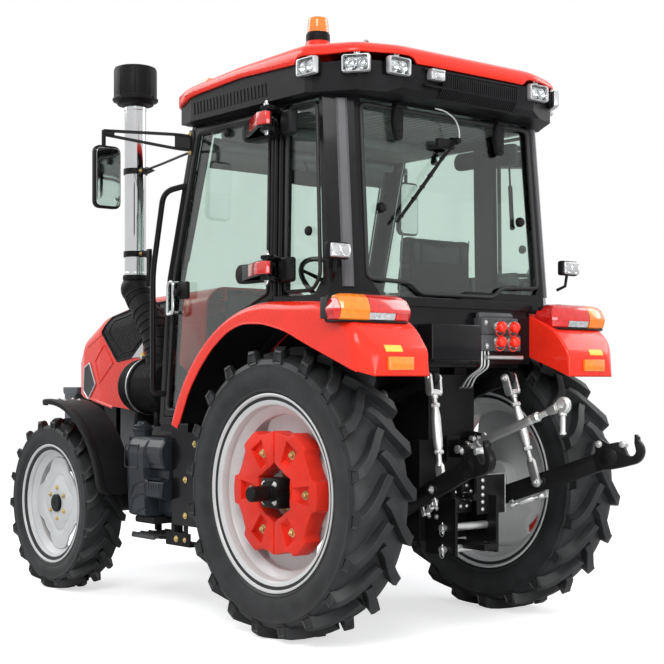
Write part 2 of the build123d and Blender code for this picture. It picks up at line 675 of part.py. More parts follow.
def door():
    """The left door: its frame and its one tall glass."""
    frame = on_wall(SIDE_PLANE, SIDE_LEAN, DOOR_OUTLINE, CAB_WALL)
    frame -= on_wall(SIDE_PLANE, SIDE_LEAN, DOOR_OUTLINE, CAB_WALL * 3, -CAB_WALL, inset=DOOR_FRAME)
    pane = on_wall(SIDE_PLANE, SIDE_LEAN, DOOR_OUTLINE, GLASS, 12, inset=DOOR_FRAME)
    return frame + hinge("door"), pane


def cab_floor():
    """The stepped floor, the inner walls of the wheel arches and the seat's base."""
    low = CAB_LOW_Z - FLOOR_THICK
    front, rear = CAB_FRONT_LOW - 10, REAR_PANEL[1]
    # behind this the fender's end stands in the way
    sill = FENDER_R * math.cos(math.radians(FENDER_START)) + GAP
    floor = block(PLATFORM_FRONT, front, -FLOOR_HALF, FLOOR_HALF, low, CAB_LOW_Z)
    floor += block(sill, front, -CAB_LOW_HALF, CAB_LOW_HALF, low, CAB_LOW_Z)
    floor += block(PLATFORM_FRONT - FLOOR_THICK, PLATFORM_FRONT, -FLOOR_HALF, FLOOR_HALF, low, PLATFORM_Z)
    floor += block(rear, PLATFORM_FRONT, -FLOOR_HALF, FLOOR_HALF, PLATFORM_Z - FLOOR_THICK, PLATFORM_Z)
    for side in (1, -1):
        arch = prism_xz([(rear, REAR_PANEL_LOW), (rear, 1515), (20, 1530), (330, 1467), (600, 1290),
                         (780, 1039), (sill + 20, low), (210, low), (210, REAR_PANEL_LOW)],
                        FLOOR_HALF, FENDER_INNER)
        panel = block(700, 1010, 690, 702, 440, low)
        panel += block(sill, 1010, 600, 702, low - 14, low)
        floor += (arch + panel) if side == 1 else other(arch + panel)
    return floor + block(-170, 190, -170, 170, PLATFORM_Z, SEAT_Z)


SEAT_Z = 1365


def seat():
    cushion = block(-220, 250, -235, 235, SEAT_Z, SEAT_Z + 120)
    back = prism_xz([(-220, SEAT_Z + 120), (-110, SEAT_Z + 120), (-170, 1880), (-262, 1880)], -225, 225)
    return cushion + back


def console():
    """The dashboard, steering column and steering wheel."""
    desk = prism_xz([(760, CAB_LOW_Z), (1020, CAB_LOW_Z), (925, 1560), (800, 1600), (740, 1500)], -170, 170)
    base, tip = Vector(760, 0, 1500), Vector(560, 0, 1680)
    column = rod(tuple(base), tuple(tip), 28)
    plane = Plane(origin=tip, z_dir=tip - base)
    wheel = extrude(plane * (Circle(200) - Circle(172)), 26)
    hub = extrude(plane * Circle(46), 20)
    spokes = extrude(plane * Rectangle(370, 34), 14) + extrude(plane * Rectangle(34, 370), 14)
    return desk + column + hub + (spokes & extrude(plane * Circle(180), 40)) + wheel


# ---------------------------------------------------------------- roof
ROOF_SIDE = (               # the painted shell seen from the side: X, height over the rim's top
    (980, -55), (940, 0), (760, 50), (350, 85), (-100, 98), (-380, 92), (-450, 72), (-500, 40),
    (-500, 12), (-250, 0), (300, 14), (700, -8),
)
RIM_SIDE = (                # the black rim: X, height over the rim's top
    (905, -100), (930, -40), (900, -4), (700, -8), (300, 14), (-250, 0), (-505, 10), (-480, -80),
    (-430, CAB_TOP_Z - ROOF_TRIM_TOP), (840, CAB_TOP_Z - ROOF_TRIM_TOP),
)
ROOF_CROWN = (              # the shell seen from behind: in from the side, height over the rim's top
    (0, -100), (0, 38), (95, 82), (ROOF_HALF - 250, 102),
)


def roof_plan(inset):
    """The roof seen from above, drawn in by inset: rounded at the front, cut off at the rear corners."""
    half, front, rear = ROOF_HALF - inset, ROOF_FRONT - inset, ROOF_REAR + inset
    left = [(front, half - 160), (front - 90, half - 30), (front - 220, half), (rear + 270, half),
            (rear + 245, half - 22), (rear + 70, half - 140), (rear, half - 340)]
    right = [(x, -y) for x, y in reversed(left)]
    return prism_xy(left + right, CAB_TOP_Z - 100, ROOF_TRIM_TOP + 200)


def roof_solid(inset):
    side = prism_xz([(x, ROOF_TRIM_TOP + up) for x, up in ROOF_SIDE], -ROOF_HALF, ROOF_HALF)
    left = [(ROOF_HALF - inward, ROOF_TRIM_TOP + up) for inward, up in ROOF_CROWN]
    right = [(-y, z) for y, z in reversed(left)]
    return side & prism_yz(left + right, ROOF_REAR - 200, ROOF_FRONT + 200) & roof_plan(inset)


LAMP_RECESS = 32            # how far the shell's edge is lifted over the lamps at the rear corners


def roof():
    """The painted shell, open underneath."""
    shell = roof_solid(0) - Pos(0, 0, -ROOF_WALL) * roof_solid(ROOF_WALL)
    recess = block(ROOF_REAR - 50, ROOF_REAR + 330, 375, ROOF_HALF + 50, ROOF_TRIM_TOP - 100,
                   ROOF_TRIM_TOP + LAMP_RECESS)
    return shell - both(recess)


def roof_trim():
    """The black rim under the roof shell, which holds the lamps, and the headlining across it."""
    body = prism_xz([(x, ROOF_TRIM_TOP + up) for x, up in RIM_SIDE], -ROOF_HALF, ROOF_HALF)
    inside = CAB_TOP_HALF - 80
    space = block(-260, 720, -inside, inside, CAB_TOP_Z + ROOF_WALL, ROOF_TRIM_TOP + 100)
    return (body & roof_plan(ROOF_LAP)) - space


LAMP_SPOTS = (  # centre X, Y, Z, and the way each lamp looks, in degrees about Z from forward
    (-205, 762, 2582, 90), (-383, 638, 2583, 125), (-446, 458, 2585, 180), (880, 620, 2520, 0),
)


def work_lamps():
    shape = None
    for x, y, z, turn in LAMP_SPOTS:
        lamp = Rot(0, 0, turn) * block(-30, 30, -66, 66, -40, 40)
        lamp = Pos(x, y, z) * lamp
        lamp = lamp + other(lamp)
        shape = lamp if shape is None else shape + lamp
    return shape


def beacon():
    x, y, z = 60, 500, ROOF_TRIM_TOP + 70
    return rod((x, y, z), (x, y, z + 100), 62) + rod((x, y, z + 100), (x, y, z + 230), 52)


def tail_lamps():
    left = prism_xy(
        [
            (-430, 465), (-430, 868), (-465, 885), (-520, 885), (-558, 850), (-572, 770), (-572, 482),
            (-555, 465),
        ],
        1430, 1555,
    )
    return both(left)


# ---------------------------------------------------------------- left and right sides
TANK_REAR = 1020
TANK_FRONT = WHEELBASE - FENDER_SWEEP
TANK_LOW = 470
STEP_Z = (345, 375)


def side_tanks():
    """The fuel tank and steps on the left, and the matching tank on the right."""
    section = [(240, TANK_LOW), (240, 880), (700, 880), (780, 800), (760, TANK_LOW)]
    tank = prism_yz(section, TANK_REAR, TANK_FRONT)
    step = block(TANK_FRONT - 225, TANK_FRONT - 5, 500, 720, *STEP_Z)
    stays = block(TANK_FRONT - 200, TANK_FRONT - 170, 560, 590, STEP_Z[1], TANK_LOW)
    stays += block(TANK_FRONT - 60, TANK_FRONT - 30, 560, 590, STEP_Z[1], TANK_LOW)
    filler = rod((TANK_FRONT - 75, 690, 840), (TANK_FRONT - 75, 690, 960), 45)
    stays += block(TANK_REAR + 20, TANK_REAR + 80, 180, 245, 600, 700)
    left = tank + step + stays + filler
    right = other(tank + step + stays)
    return left + right


CANISTER_Z = 1150
CANISTER_R = 155
CANISTER_Y = 540
CANISTER_FRONT = WHEELBASE - 450
CANISTER_REAR = CANISTER_FRONT - 330


def air_cleaner():
    """The intake's canister beside the engine, with its duct up to the stack."""
    y, z, x = CANISTER_Y, CANISTER_Z, CANISTER_REAR + 100
    can = rod((CANISTER_REAR, y, z), (CANISTER_FRONT, y, z), CANISTER_R)
    neck = rod((x, y, z), (x + 5, y + 5, z + 190), 68)
    bend = rod((x + 5, y + 5, z + 180), STACK_FOOT, 68, 62)
    elbow = Pos(*STACK_FOOT) * Sphere(78)
    bracket = block(x - 20, x + 20, 235, y, 950, 975) + block(x - 20, x + 20, y - 70, y, 950, 1020)
    return can + neck + bend + elbow + bracket


STACK_FOOT = (WHEELBASE - 435, 550, 1700)
STACK_TOP = 2718
STACK_R = 60


def intake_stack():
    x, y, z = STACK_FOOT
    return rod((x, y, z), (x, y, STACK_TOP), STACK_R)


def precleaner():
    x, y, _ = STACK_FOOT
    cap = rod((x, y, STACK_TOP), (x, y, STACK_TOP + 18), 90, 128)
    cap += rod((x, y, STACK_TOP + 18), (x, y, STACK_TOP + 40), 128)
    return cap + rod((x, y, STACK_TOP + 40), (x, y, STACK_TOP + 208), 120)


def exhaust():
    """A silencer along the right of the engine with a tail pipe that turns down ahead of the tank."""
    x0, x1, y, z = WHEELBASE - 600, WHEELBASE - 150, -288, 935
    silencer = rod((x0, y, z), (x1, y, z), 48)
    pipe = rod((x0, y, z), (x0 - 60, y, z), 28)
    port = rod((x1 - 150, -235, z), (x1 - 150, y, z), 32)
    return silencer + pipe + port


MIRROR_HEAD = (2052, 2370)  # its lower and upper edge, Z


def mirrors():
    arm = rod((832, 690, 2390), (1120, 1040, 2440), 14)
    drop = rod((1120, 1040, 2446), (1120, 1040, MIRROR_HEAD[1] - 10), 14)
    head = block(1085, 1145, 960, 1112, *MIRROR_HEAD)
    return both(arm + drop + head)


def grab_rails():
    points = [(1062, 708, 1112), (1086, 768, 1116), (1088, 768, 1740), (985, 768, 2150), (884, 696, 2176)]
    path = FilletPolyline(*points, radius=22)
    plane = Plane(origin=path @ 0, z_dir=path % 0)
    return both(sweep(plane * Circle(15), path=path))


# ---------------------------------------------------------------- rear
def rear_cover():
    """A folded black plate on the lift housing, behind the cab."""
    return block(-500, REAR_PANEL[0], -20, 290, 1275, 1440)


def remote_valves():
    shape = block(-470, REAR_PANEL[0], -330, -60, 1320, 1480)
    for row in range(2):
        for column in range(2):
            y, z = -250 + column * 90, 1365 + row * 70
            shape += rod((-465, y, z), (-520, y, z), 24)
    return shape


def drawbar_frame():
    """The pick-up frame under the shaft: two plates, two cross pins and the drawbar."""
    shape = None
    for side in (1, -1):
        plate = block(-500, -300, side * 135 - 8, side * 135 + 8, 374, 640)
        shape = plate if shape is None else shape + plate
    for z in (400, 500):
        shape += rod((-430, -160, z), (-430, 160, z), 16)
    bar_plate = block(DRAWBAR_PIN_X - 40, -300, -40, 40, 400, 430)
    bar_plate -= rod((DRAWBAR_PIN_X, 0, 390), (DRAWBAR_PIN_X, 0, 440), DRAWBAR_PIN_R)
    return shape + bar_plate


def lift_arms():
    """The cross shaft and both lift arms, which turn as one."""
    x, z = ROCKSHAFT
    tip_x, tip_z = ARM_TIP
    shape = rod((x, -ARM_Y - 22, z), (x, ARM_Y + 22, z), ROCKSHAFT_R)
    for side in (1, -1):
        y = side * ARM_Y
        shape += rod((x, y - ARM_HALF, z), (x, y + ARM_HALF, z), ROCKSHAFT_R + 14)
        shape += bar((x, y, z), (tip_x, y, tip_z), 56, ARM_HALF * 2)
        shape += rod((tip_x, y - ARM_HALF, tip_z), (tip_x, y + ARM_HALF, tip_z), 32)
        shape -= rod((tip_x, y - 40, tip_z), (tip_x, y + 40, tip_z), ROD_PIN_R + RUN)
    return shape


def on_link(x):
    """The middle of the left lower link at a given X."""
    foot, hook = Vector(*LINK_FOOT), Vector(*HOOK)
    return foot + (hook - foot) * ((x - foot.X) / (hook.X - foot.X))


def lift_rod():
    """The left lift rod: a fork on the lift arm, a screwed barrel and an eye beside the lower link."""
    top = Vector(ARM_TIP[0], ARM_Y, ARM_TIP[1])
    beside = on_link(ROD_FOOT_X)
    slant = (HOOK[1] - LINK_FOOT[1]) / (LINK_FOOT[0] - HOOK[0])
    foot = Vector(ROD_FOOT_X, beside.Y - LINK_THICK / 2 - 9 - ROD_STAND_OFF - 22 * slant, beside.Z)
    along = (foot - top).normalized()
    inner, outer = ARM_HALF + GAP, ARM_HALF + GAP + 12
    shape = rod(tuple(top + along * 70), tuple(foot - along * 85), 21)
    shape += rod(tuple(top + Vector(0, -outer, 0)), tuple(top + Vector(0, outer, 0)), ROD_PIN_R)
    for side in (1, -1):
        y = top.Y + side * (inner + outer) / 2
        low = top + along * 66
        shape += bar((top.X, y, top.Z), (low.X, y, low.Z), 44, 12)
        shape += rod((top.X, y - 6, top.Z), (top.X, y + 6, top.Z), 22)
    bridge = top + along * 70
    turn = math.degrees(math.atan2(along.X, along.Z))
    shape += Pos(bridge.X, top.Y, bridge.Z) * (Rot(0, turn, 0) * Box(44, outer * 2, 34))
    shape += bar(tuple(foot - along * 100), tuple(foot), 44, 18)
    shape += rod((foot.X, foot.Y - 9, foot.Z), (foot.X, foot.Y + 9, foot.Z), 22)
    return shape


def lower_link():
    """The left lower link: a ball on the axle housing, a flat bar and a claw."""
    foot, hook = Vector(*LINK_FOOT), Vector(*HOOK)
    along = (hook - foot).normalized()
    shape = bar(tuple(foot + along * 24), tuple(hook - along * 60), 86, LINK_THICK)
    shape += Pos(*tuple(foot)) * Sphere(LINK_BALL_R)
    shape -= rod((foot.X, foot.Y - 60, foot.Z), (foot.X, foot.Y + 60, foot.Z), LINK_PIN_R + RUN)
    claw = rod((hook.X, hook.Y - 17, hook.Z), (hook.X, hook.Y + 17, hook.Z), HOOK_R)
    claw -= rod((hook.X, hook.Y - 20, hook.Z), (hook.X, hook.Y + 20, hook.Z), 23)
    claw -= block(hook.X - 23, hook.X + 23, hook.Y - 20, hook.Y + 20, hook.Z, hook.Z + HOOK_R + 10)
    return shape + claw


def top_link():
    a, b = Vector(*TOP_LINK_FRONT), Vector(*TOP_LINK_REAR)
    along = (b - a).normalized()
    shape = rod(tuple(a + along * 30), tuple(b - along * 30), 14)
    shape += rod(tuple(a + along * 46), tuple(b - along * 46), 20)
    for p, bore in ((a, TOP_LINK_PIN_R + RUN), (b, 13)):
        shape += rod((p.X, -TOP_LINK_EYE, p.Z), (p.X, TOP_LINK_EYE, p.Z), 38)
        shape -= rod((p.X, -TOP_LINK_EYE - 5, p.Z), (p.X, TOP_LINK_EYE + 5, p.Z), bore)
    return shape


# ---------------------------------------------------------------- assembly
def build():
    parts = {}
    tyre_r, rim_r, weights = rear_wheel()
    tyre_f, rim_f = front_wheel()
    wheel_parts = {
        "rear_tyre": at_wheel(tyre_r, REAR, 0), "rear_rim": at_wheel(rim_r, REAR, 0),
        "wheel_weights": at_wheel(weights, REAR, 0),
        "front_tyre": at_wheel(tyre_f, FRONT, WHEELBASE), "front_rim": at_wheel(rim_f, FRONT, WHEELBASE),
        "knuckle": knuckle(), "front_fender": front_fender(),
        "lift_rod": lift_rod(), "lower_link": lower_link(),
    }
    frame, pane = door()
    wheel_parts["door_frame"] = frame
    wheel_parts["door_glass"] = pane
    for name, shape in wheel_parts.items():
        parts[name + "_left"] = shape
        parts[name + "_right"] = other(shape)
    parts["rear_fenders"] = both(rear_fender())
    parts["front_axle"] = front_axle()
    parts["engine"] = engine()
    parts["gearbox"] = gearbox()
    parts["front_frame"] = front_frame()
    parts["front_weights"] = front_weights()
    parts["bonnet"] = bonnet()
    parts["grille"] = grille()
    parts["cab_frame"] = cab_frame()
    parts["cab_floor"] = cab_floor()
    parts["cab_windows"] = cab_windows()
    parts["seat"] = seat()
    parts["console"] = console()
    parts["roof"] = roof()
    parts["roof_trim"] = roof_trim()
    parts["lamps"] = work_lamps() + beacon() + tail_lamps()
    parts["side_tanks"] = side_tanks()
    parts["air_cleaner"] = air_cleaner()
    parts["intake_stack"] = intake_stack() + precleaner()
    parts["mirrors_and_rails"] = mirrors() + grab_rails()
    parts["rear_valves"] = rear_cover() + remote_valves()
    parts["drawbar_frame"] = drawbar_frame()
    parts["lift_arms"] = lift_arms()
    parts["top_link"] = top_link()
    return parts


# pieces that seat on others: each is cut back to the faces of those named after it
SEATED = (
    ("cab_windows", "cab_frame"), ("mirrors_and_rails", "cab_frame"), ("intake_stack", "air_cleaner"),
    ("roof", "lamps"), ("roof_trim", "lamps", "roof"), ("rear_fenders", "lamps"),
    ("knuckle_left", "front_fender_left"), ("knuckle_right", "front_fender_right"),
)


def main():
    parts = build()
    for name, *seats in SEATED:
        for seat_name in seats:
            parts[name] = parts[name] - parts[seat_name]
    os.makedirs("parts", exist_ok=True)
    for name, shape in parts.items():
        export_step(Pos(-CENTRE_X, 0, 0) * shape, f"parts/{name}.step")
    print(len(parts), "nodes; middle of the machine is", CENTRE_X, "ahead of the rear axle")


if __name__ == "__main__":
    main()
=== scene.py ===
import bmesh
import bpy
import json
from math import acos, asin, copysign, cos, exp, hypot, pi, radians, sin, sqrt
from mathutils import Matrix, Vector


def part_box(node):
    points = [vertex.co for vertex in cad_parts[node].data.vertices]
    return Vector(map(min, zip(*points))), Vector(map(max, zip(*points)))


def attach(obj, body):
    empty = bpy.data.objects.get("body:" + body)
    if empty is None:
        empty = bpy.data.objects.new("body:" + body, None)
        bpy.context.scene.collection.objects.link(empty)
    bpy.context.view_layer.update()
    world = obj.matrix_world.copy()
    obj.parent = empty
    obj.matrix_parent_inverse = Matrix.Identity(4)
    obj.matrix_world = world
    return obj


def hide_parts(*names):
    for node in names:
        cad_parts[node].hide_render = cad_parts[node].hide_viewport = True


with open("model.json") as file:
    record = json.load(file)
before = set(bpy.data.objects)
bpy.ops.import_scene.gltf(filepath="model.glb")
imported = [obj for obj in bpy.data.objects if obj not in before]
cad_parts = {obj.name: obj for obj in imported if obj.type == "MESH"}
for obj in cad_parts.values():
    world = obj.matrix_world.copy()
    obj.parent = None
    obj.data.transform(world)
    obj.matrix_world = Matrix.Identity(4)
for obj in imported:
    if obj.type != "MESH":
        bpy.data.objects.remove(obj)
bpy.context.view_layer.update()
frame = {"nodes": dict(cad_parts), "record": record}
nodes = frame["nodes"]

# every piece below is laid out from the point on the ground under the rear axle
rearLow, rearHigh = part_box("rear_tyre_left")
frontLow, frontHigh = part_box("front_tyre_left")
axleX = (rearLow.x + rearHigh.x) / 2
toFrame = Matrix.Translation((axleX, 0, 0))
sides = (("left", 1), ("right", -1))


def cadBoxOf(node):
    # a CAD node's corners, from the rear axle
    low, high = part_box(node)
    return low - Vector((axleX, 0, 0)), high - Vector((axleX, 0, 0))


# shapes
def turn(count, shift=0):
    # the angles of a full turn in equal steps
    return [2 * pi * (k + shift) / count for k in range(count)]


def circle(centre, side, up, radius, angles):
    return [centre + side * radius * cos(a) + up * radius * sin(a) for a in angles]


def addBox(bm, low, high, bevel=0, segments=2):
    made = bmesh.ops.create_cube(bm, size=1)["verts"]
    for v in made:
        v.co = Vector([(a + b) / 2 + c * (b - a) for a, b, c in zip(low, high, v.co)])
    if bevel:
        edges = list({e for v in made for e in v.link_edges})
        return bmesh.ops.bevel(bm, geom=edges, offset=bevel, segments=segments, affect="EDGES",
                               profile=0.5)["verts"]
    return made


def addPrism(bm, outline, axis, start, end, bevel=0, segments=2):
    # an outline in the two other axes, carried from start to end along axis
    place = {"x": lambda a, b, t: (t, a, b), "y": lambda a, b, t: (a, t, b), "z": lambda a, b,
             t: (a, b, t)}[axis]
    low = [bm.verts.new(place(a, b, start)) for a, b in outline]
    high = [bm.verts.new(place(a, b, end)) for a, b in outline]
    n = len(outline)
    faces = [bm.faces.new(low[::-1]), bm.faces.new(high)]
    faces += [bm.faces.new((low[i], low[(i + 1) % n], high[(i + 1) % n], high[i])) for i in range(n)]
    bmesh.ops.recalc_face_normals(bm, faces=faces)
    if bevel:
        edges = list({e for f in faces for e in f.edges})
        bmesh.ops.bevel(bm, geom=edges, offset=bevel, segments=segments, affect="EDGES", profile=0.5,
                        clamp_overlap=True)
    return low + high


def addRings(bm, rings, closed=True, caps=True):
    # joins rings of points, each with the same number of points
    made = [[bm.verts.new(p) for p in ring] for ring in rings]
    faces = []
    for near, far in zip(made, made[1:]):
        n = len(near)
        for i in range(n if closed else n - 1):
            j = (i + 1) % n
            faces.append(bm.faces.new((near[i], near[j], far[j], far[i])))
    if caps:
        faces.append(bm.faces.new(made[0][::-1]))
        faces.append(bm.faces.new(made[-1]))
    return made, faces


def addSolid(bm, rings, **how):
    # rings of points joined into a body whose faces look outward
    made, faces = addRings(bm, rings, **how)
    bmesh.ops.recalc_face_normals(bm, faces=faces)
    return made, faces


def addLathe(bm, profile, centre, steps=96, axis="y", loop=False):
    # profile: (along the axis, radius) from the centre
    frames = {"y": lambda t, r, a: (r * cos(a), t, r * sin(a)),
              "z": lambda t, r, a: (r * cos(a), r * sin(a), t),
              "x": lambda t, r, a: (t, r * cos(a), r * sin(a))}[axis]
    c = Vector(centre)
    points = profile + profile[:1] if loop else profile
    rings = [[c + Vector(frames(t, r, angle)) for angle in turn(steps)] for t, r in points]
    if loop:
        rings = rings[:-1]
    made, faces = addRings(bm, rings, caps=not loop)
    if loop:
        for i in range(steps):
            j = (i + 1) % steps
            faces.append(bm.faces.new((made[-1][i], made[-1][j], made[0][j], made[0][i])))
    bmesh.ops.recalc_face_normals(bm, faces=faces)
    return made


def addTube(bm, points, radius, sides=12, taper=None):
    # a round bar along a line of points, with flat ends
    pts = [Vector(p) for p in points]
    rings = []
    side = None
    for i, p in enumerate(pts):
        along = (pts[min(i + 1, len(pts) - 1)] - pts[max(i - 1, 0)]).normalized()
        if side is None:
            side = along.orthogonal().normalized()
        side = (side - along * side.dot(along)).normalized()
        up = along.cross(side)
        r = radius if taper is None else taper[i]
        rings.append(circle(p, side, up, r, turn(sides)))
    return addSolid(bm, rings)[0]


def smoothPath(points, radius=0.02, steps=5):
    # rounds the corners of a line of points
    pts = [Vector(p) for p in points]
    out = [pts[0]]
    for a, b, c in zip(pts, pts[1:], pts[2:]):
        reach = min(radius, (a - b).length * 0.45, (c - b).length * 0.45)
        start, end = b + (a - b).normalized() * reach, b + (c - b).normalized() * reach
        for k in range(steps + 1):
            t = k / steps
            out.append(start * (1 - t) ** 2 + b * 2 * t * (1 - t) + end * t * t)
    return out + [pts[-1]]


def addBolt(bm, at, along, size=0.012, height=0.009, washer=True):
    # hexagon head on a washer
    at, along = Vector(at), Vector(along).normalized()
    side = along.orthogonal().normalized()
    up = along.cross(side)

    def ring(radius, lift, count):
        return circle(at + along * lift, side, up, radius, turn(count))
    if washer:
        addRings(bm, [ring(size * 1.45, -0.002, 20), ring(size * 1.45, 0.0022, 20)])
    addRings(bm, [ring(size, 0, 6), ring(size, height * 0.86, 6), ring(size * 0.86, height, 6)])
    addRings(bm, [ring(size * 0.5, height * 0.5, 12), ring(size * 0.5, height * 1.45, 12)])


def newObject(name, data):
    made = bpy.data.objects.new(name, data)
    bpy.context.scene.collection.objects.link(made)
    return made


def meshObject(name, bm, flip):
    # turns the shapes into one object, on the right side as the mirror image
    if flip:
        bmesh.ops.transform(bm, matrix=Matrix.Scale(-1, 4, (0, 1, 0)), verts=bm.verts)
        bmesh.ops.reverse_faces(bm, faces=bm.faces)
    bmesh.ops.transform(bm, matrix=toFrame, verts=bm.verts)
    mesh = bpy.data.meshes.new(name)
    bm.to_mesh(mesh)
    bm.free()
    return newObject(name, mesh)


def makePiece(name, bm, look, body, slot=None, covers=(), angle=35, bevel=0, rounds=0, flip=False):
    # a finished piece that moves with a body
    piece = meshObject(name, bm, flip)
    mesh = piece.data
    for polygon in mesh.polygons:
        polygon.use_smooth = True
    if not rounds:
        mesh.set_sharp_from_angle(angle=radians(angle))
    mesh.materials.append(finish[look])
    if rounds:
        modifier = piece.modifiers.new("rounded", "SUBSURF")
        modifier.levels = modifier.render_levels = rounds
    if bevel:
        modifier = piece.modifiers.new("eased edges", "BEVEL")
        modifier.width, modifier.segments = bevel, 2
        modifier.limit_method, modifier.angle_limit = "ANGLE", radians(40)
        modifier.harden_normals = True
    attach(piece, body)
    if covers:
        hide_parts(*covers)
    return piece


def onePiece(look, body="chassis", name=None, **how):
    # makes one piece of the function below it, under the function's name
    def make(build):
        bm = bmesh.new()
        build(bm)
        return makePiece(name or build.__name__, bm, look, body, **how)
    return make


def bothSides(look, body="chassis", name=None, covers=(), **how):
    # makes a left piece and its mirror image; body and covers take the side's name
    def make(build):
        for side, k in sides:
            bm = bmesh.new()
            build(bm)
            makePiece(f"{name or build.__name__}_{side}", bm, look, body.replace("SIDE", side),
                      covers=[c.replace("SIDE", side) for c in covers], flip=k < 0, **how)
        return build
    return make


# finishes
def makeFinish(name, look):
    # colour with slow and fine variation, uneven gloss, fine grain and eased edges
    material = bpy.data.materials.new(name)
    material.use_nodes = True
    tree = material.node_tree
    shader = tree.nodes["Principled BSDF"]
    base = look["colour"]
    shader.inputs["Roughness"].default_value = look["rough"]
    shader.inputs["Metallic"].default_value = look.get("metal", 0)
    shader.inputs["Coat Weight"].default_value = look.get("coat", 0)
    shader.inputs["Coat Roughness"].default_value = look.get("coatRough", 0.06)
    shader.inputs["Specular IOR Level"].default_value = look.get("shine", 0.5)
    if "sheen" in look:
        shader.inputs["Sheen Weight"].default_value = look["sheen"]
    where = tree.nodes.new("ShaderNodeTexCoord")

    def noise(scale, detail=4, roughness=0.55):
        node = tree.nodes.new("ShaderNodeTexNoise")
        node.inputs["Scale"].default_value = scale
        node.inputs["Detail"].default_value = detail
        node.inputs["Roughness"].default_value = roughness
        tree.links.new(where.outputs["Object"], node.inputs["Vector"])
        return node
    patches, grain = noise(look.get("patch", 6)), noise(look.get("grain", 180), 3)
    ramp = tree.nodes.new("ShaderNodeValToRGB")
    vary = look.get("vary", 0.1)
    other = look.get("other")
    dark = [c * (1 - vary) for c in base] if other is None else other
    light = [min(c * (1 + vary), 1) for c in base]
    ramp.color_ramp.elements[0].position, ramp.color_ramp.elements[1].position = 0.35, 0.68
    ramp.color_ramp.elements[0].color = (*dark, 1)
    ramp.color_ramp.elements[1].color = (*light, 1)
    tree.links.new(patches.outputs["Fac"], ramp.inputs["Fac"])
    tree.links.new(ramp.outputs["Color"], shader.inputs["Base Color"])
    gloss = tree.nodes.new("ShaderNodeMapRange")
    spread = look.get("uneven", 0.06)
    gloss.inputs["To Min"].default_value = max(look["rough"] - spread, 0.02)
    gloss.inputs["To Max"].default_value = min(look["rough"] + spread, 1)
    tree.links.new(grain.outputs["Fac"], gloss.inputs["Value"])
    tree.links.new(gloss.outputs["Result"], shader.inputs["Roughness"])
    bump = tree.nodes.new("ShaderNodeBump")
    bump.inputs["Strength"].default_value = look.get("bump", 0.15)
    bump.inputs["Distance"].default_value = look.get("depth", 0.0006)
    tree.links.new(grain.outputs["Fac"], bump.inputs["Height"])
    edge = tree.nodes.new("ShaderNodeBevel")
    edge.samples = 4
    edge.inputs["Radius"].default_value = look.get("edge", 0.003)
    tree.links.new(edge.outputs["Normal"], bump.inputs["Normal"])
    tree.links.new(bump.outputs["Normal"], shader.inputs["Normal"])
    if "coat" in look:
        tree.links.new(edge.outputs["Normal"], shader.inputs["Coat Normal"])
    if "weave" in look:
        addWeave(tree, where, bump, look["weave"])
    return material


def addWeave(tree, where, bump, scale):
    # crossed threads for cloth, or crossed bars for a mesh panel
    height = None
    for direction in ("X", "Z"):
        wave = tree.nodes.new("ShaderNodeTexWave")
        wave.bands_direction = direction
        wave.inputs["Scale"].default_value = scale
        tree.links.new(where.outputs["Object"], wave.inputs["Vector"])
        if height is None:
            height = wave.outputs["Fac"]
        else:
            mix = tree.nodes.new("ShaderNodeMath")
            mix.operation = "MAXIMUM"
            tree.links.new(height, mix.inputs[0])
            tree.links.new(wave.outputs["Fac"], mix.inputs[1])
            height = mix.outputs["Value"]
    tree.links.new(height, bump.inputs["Height"])


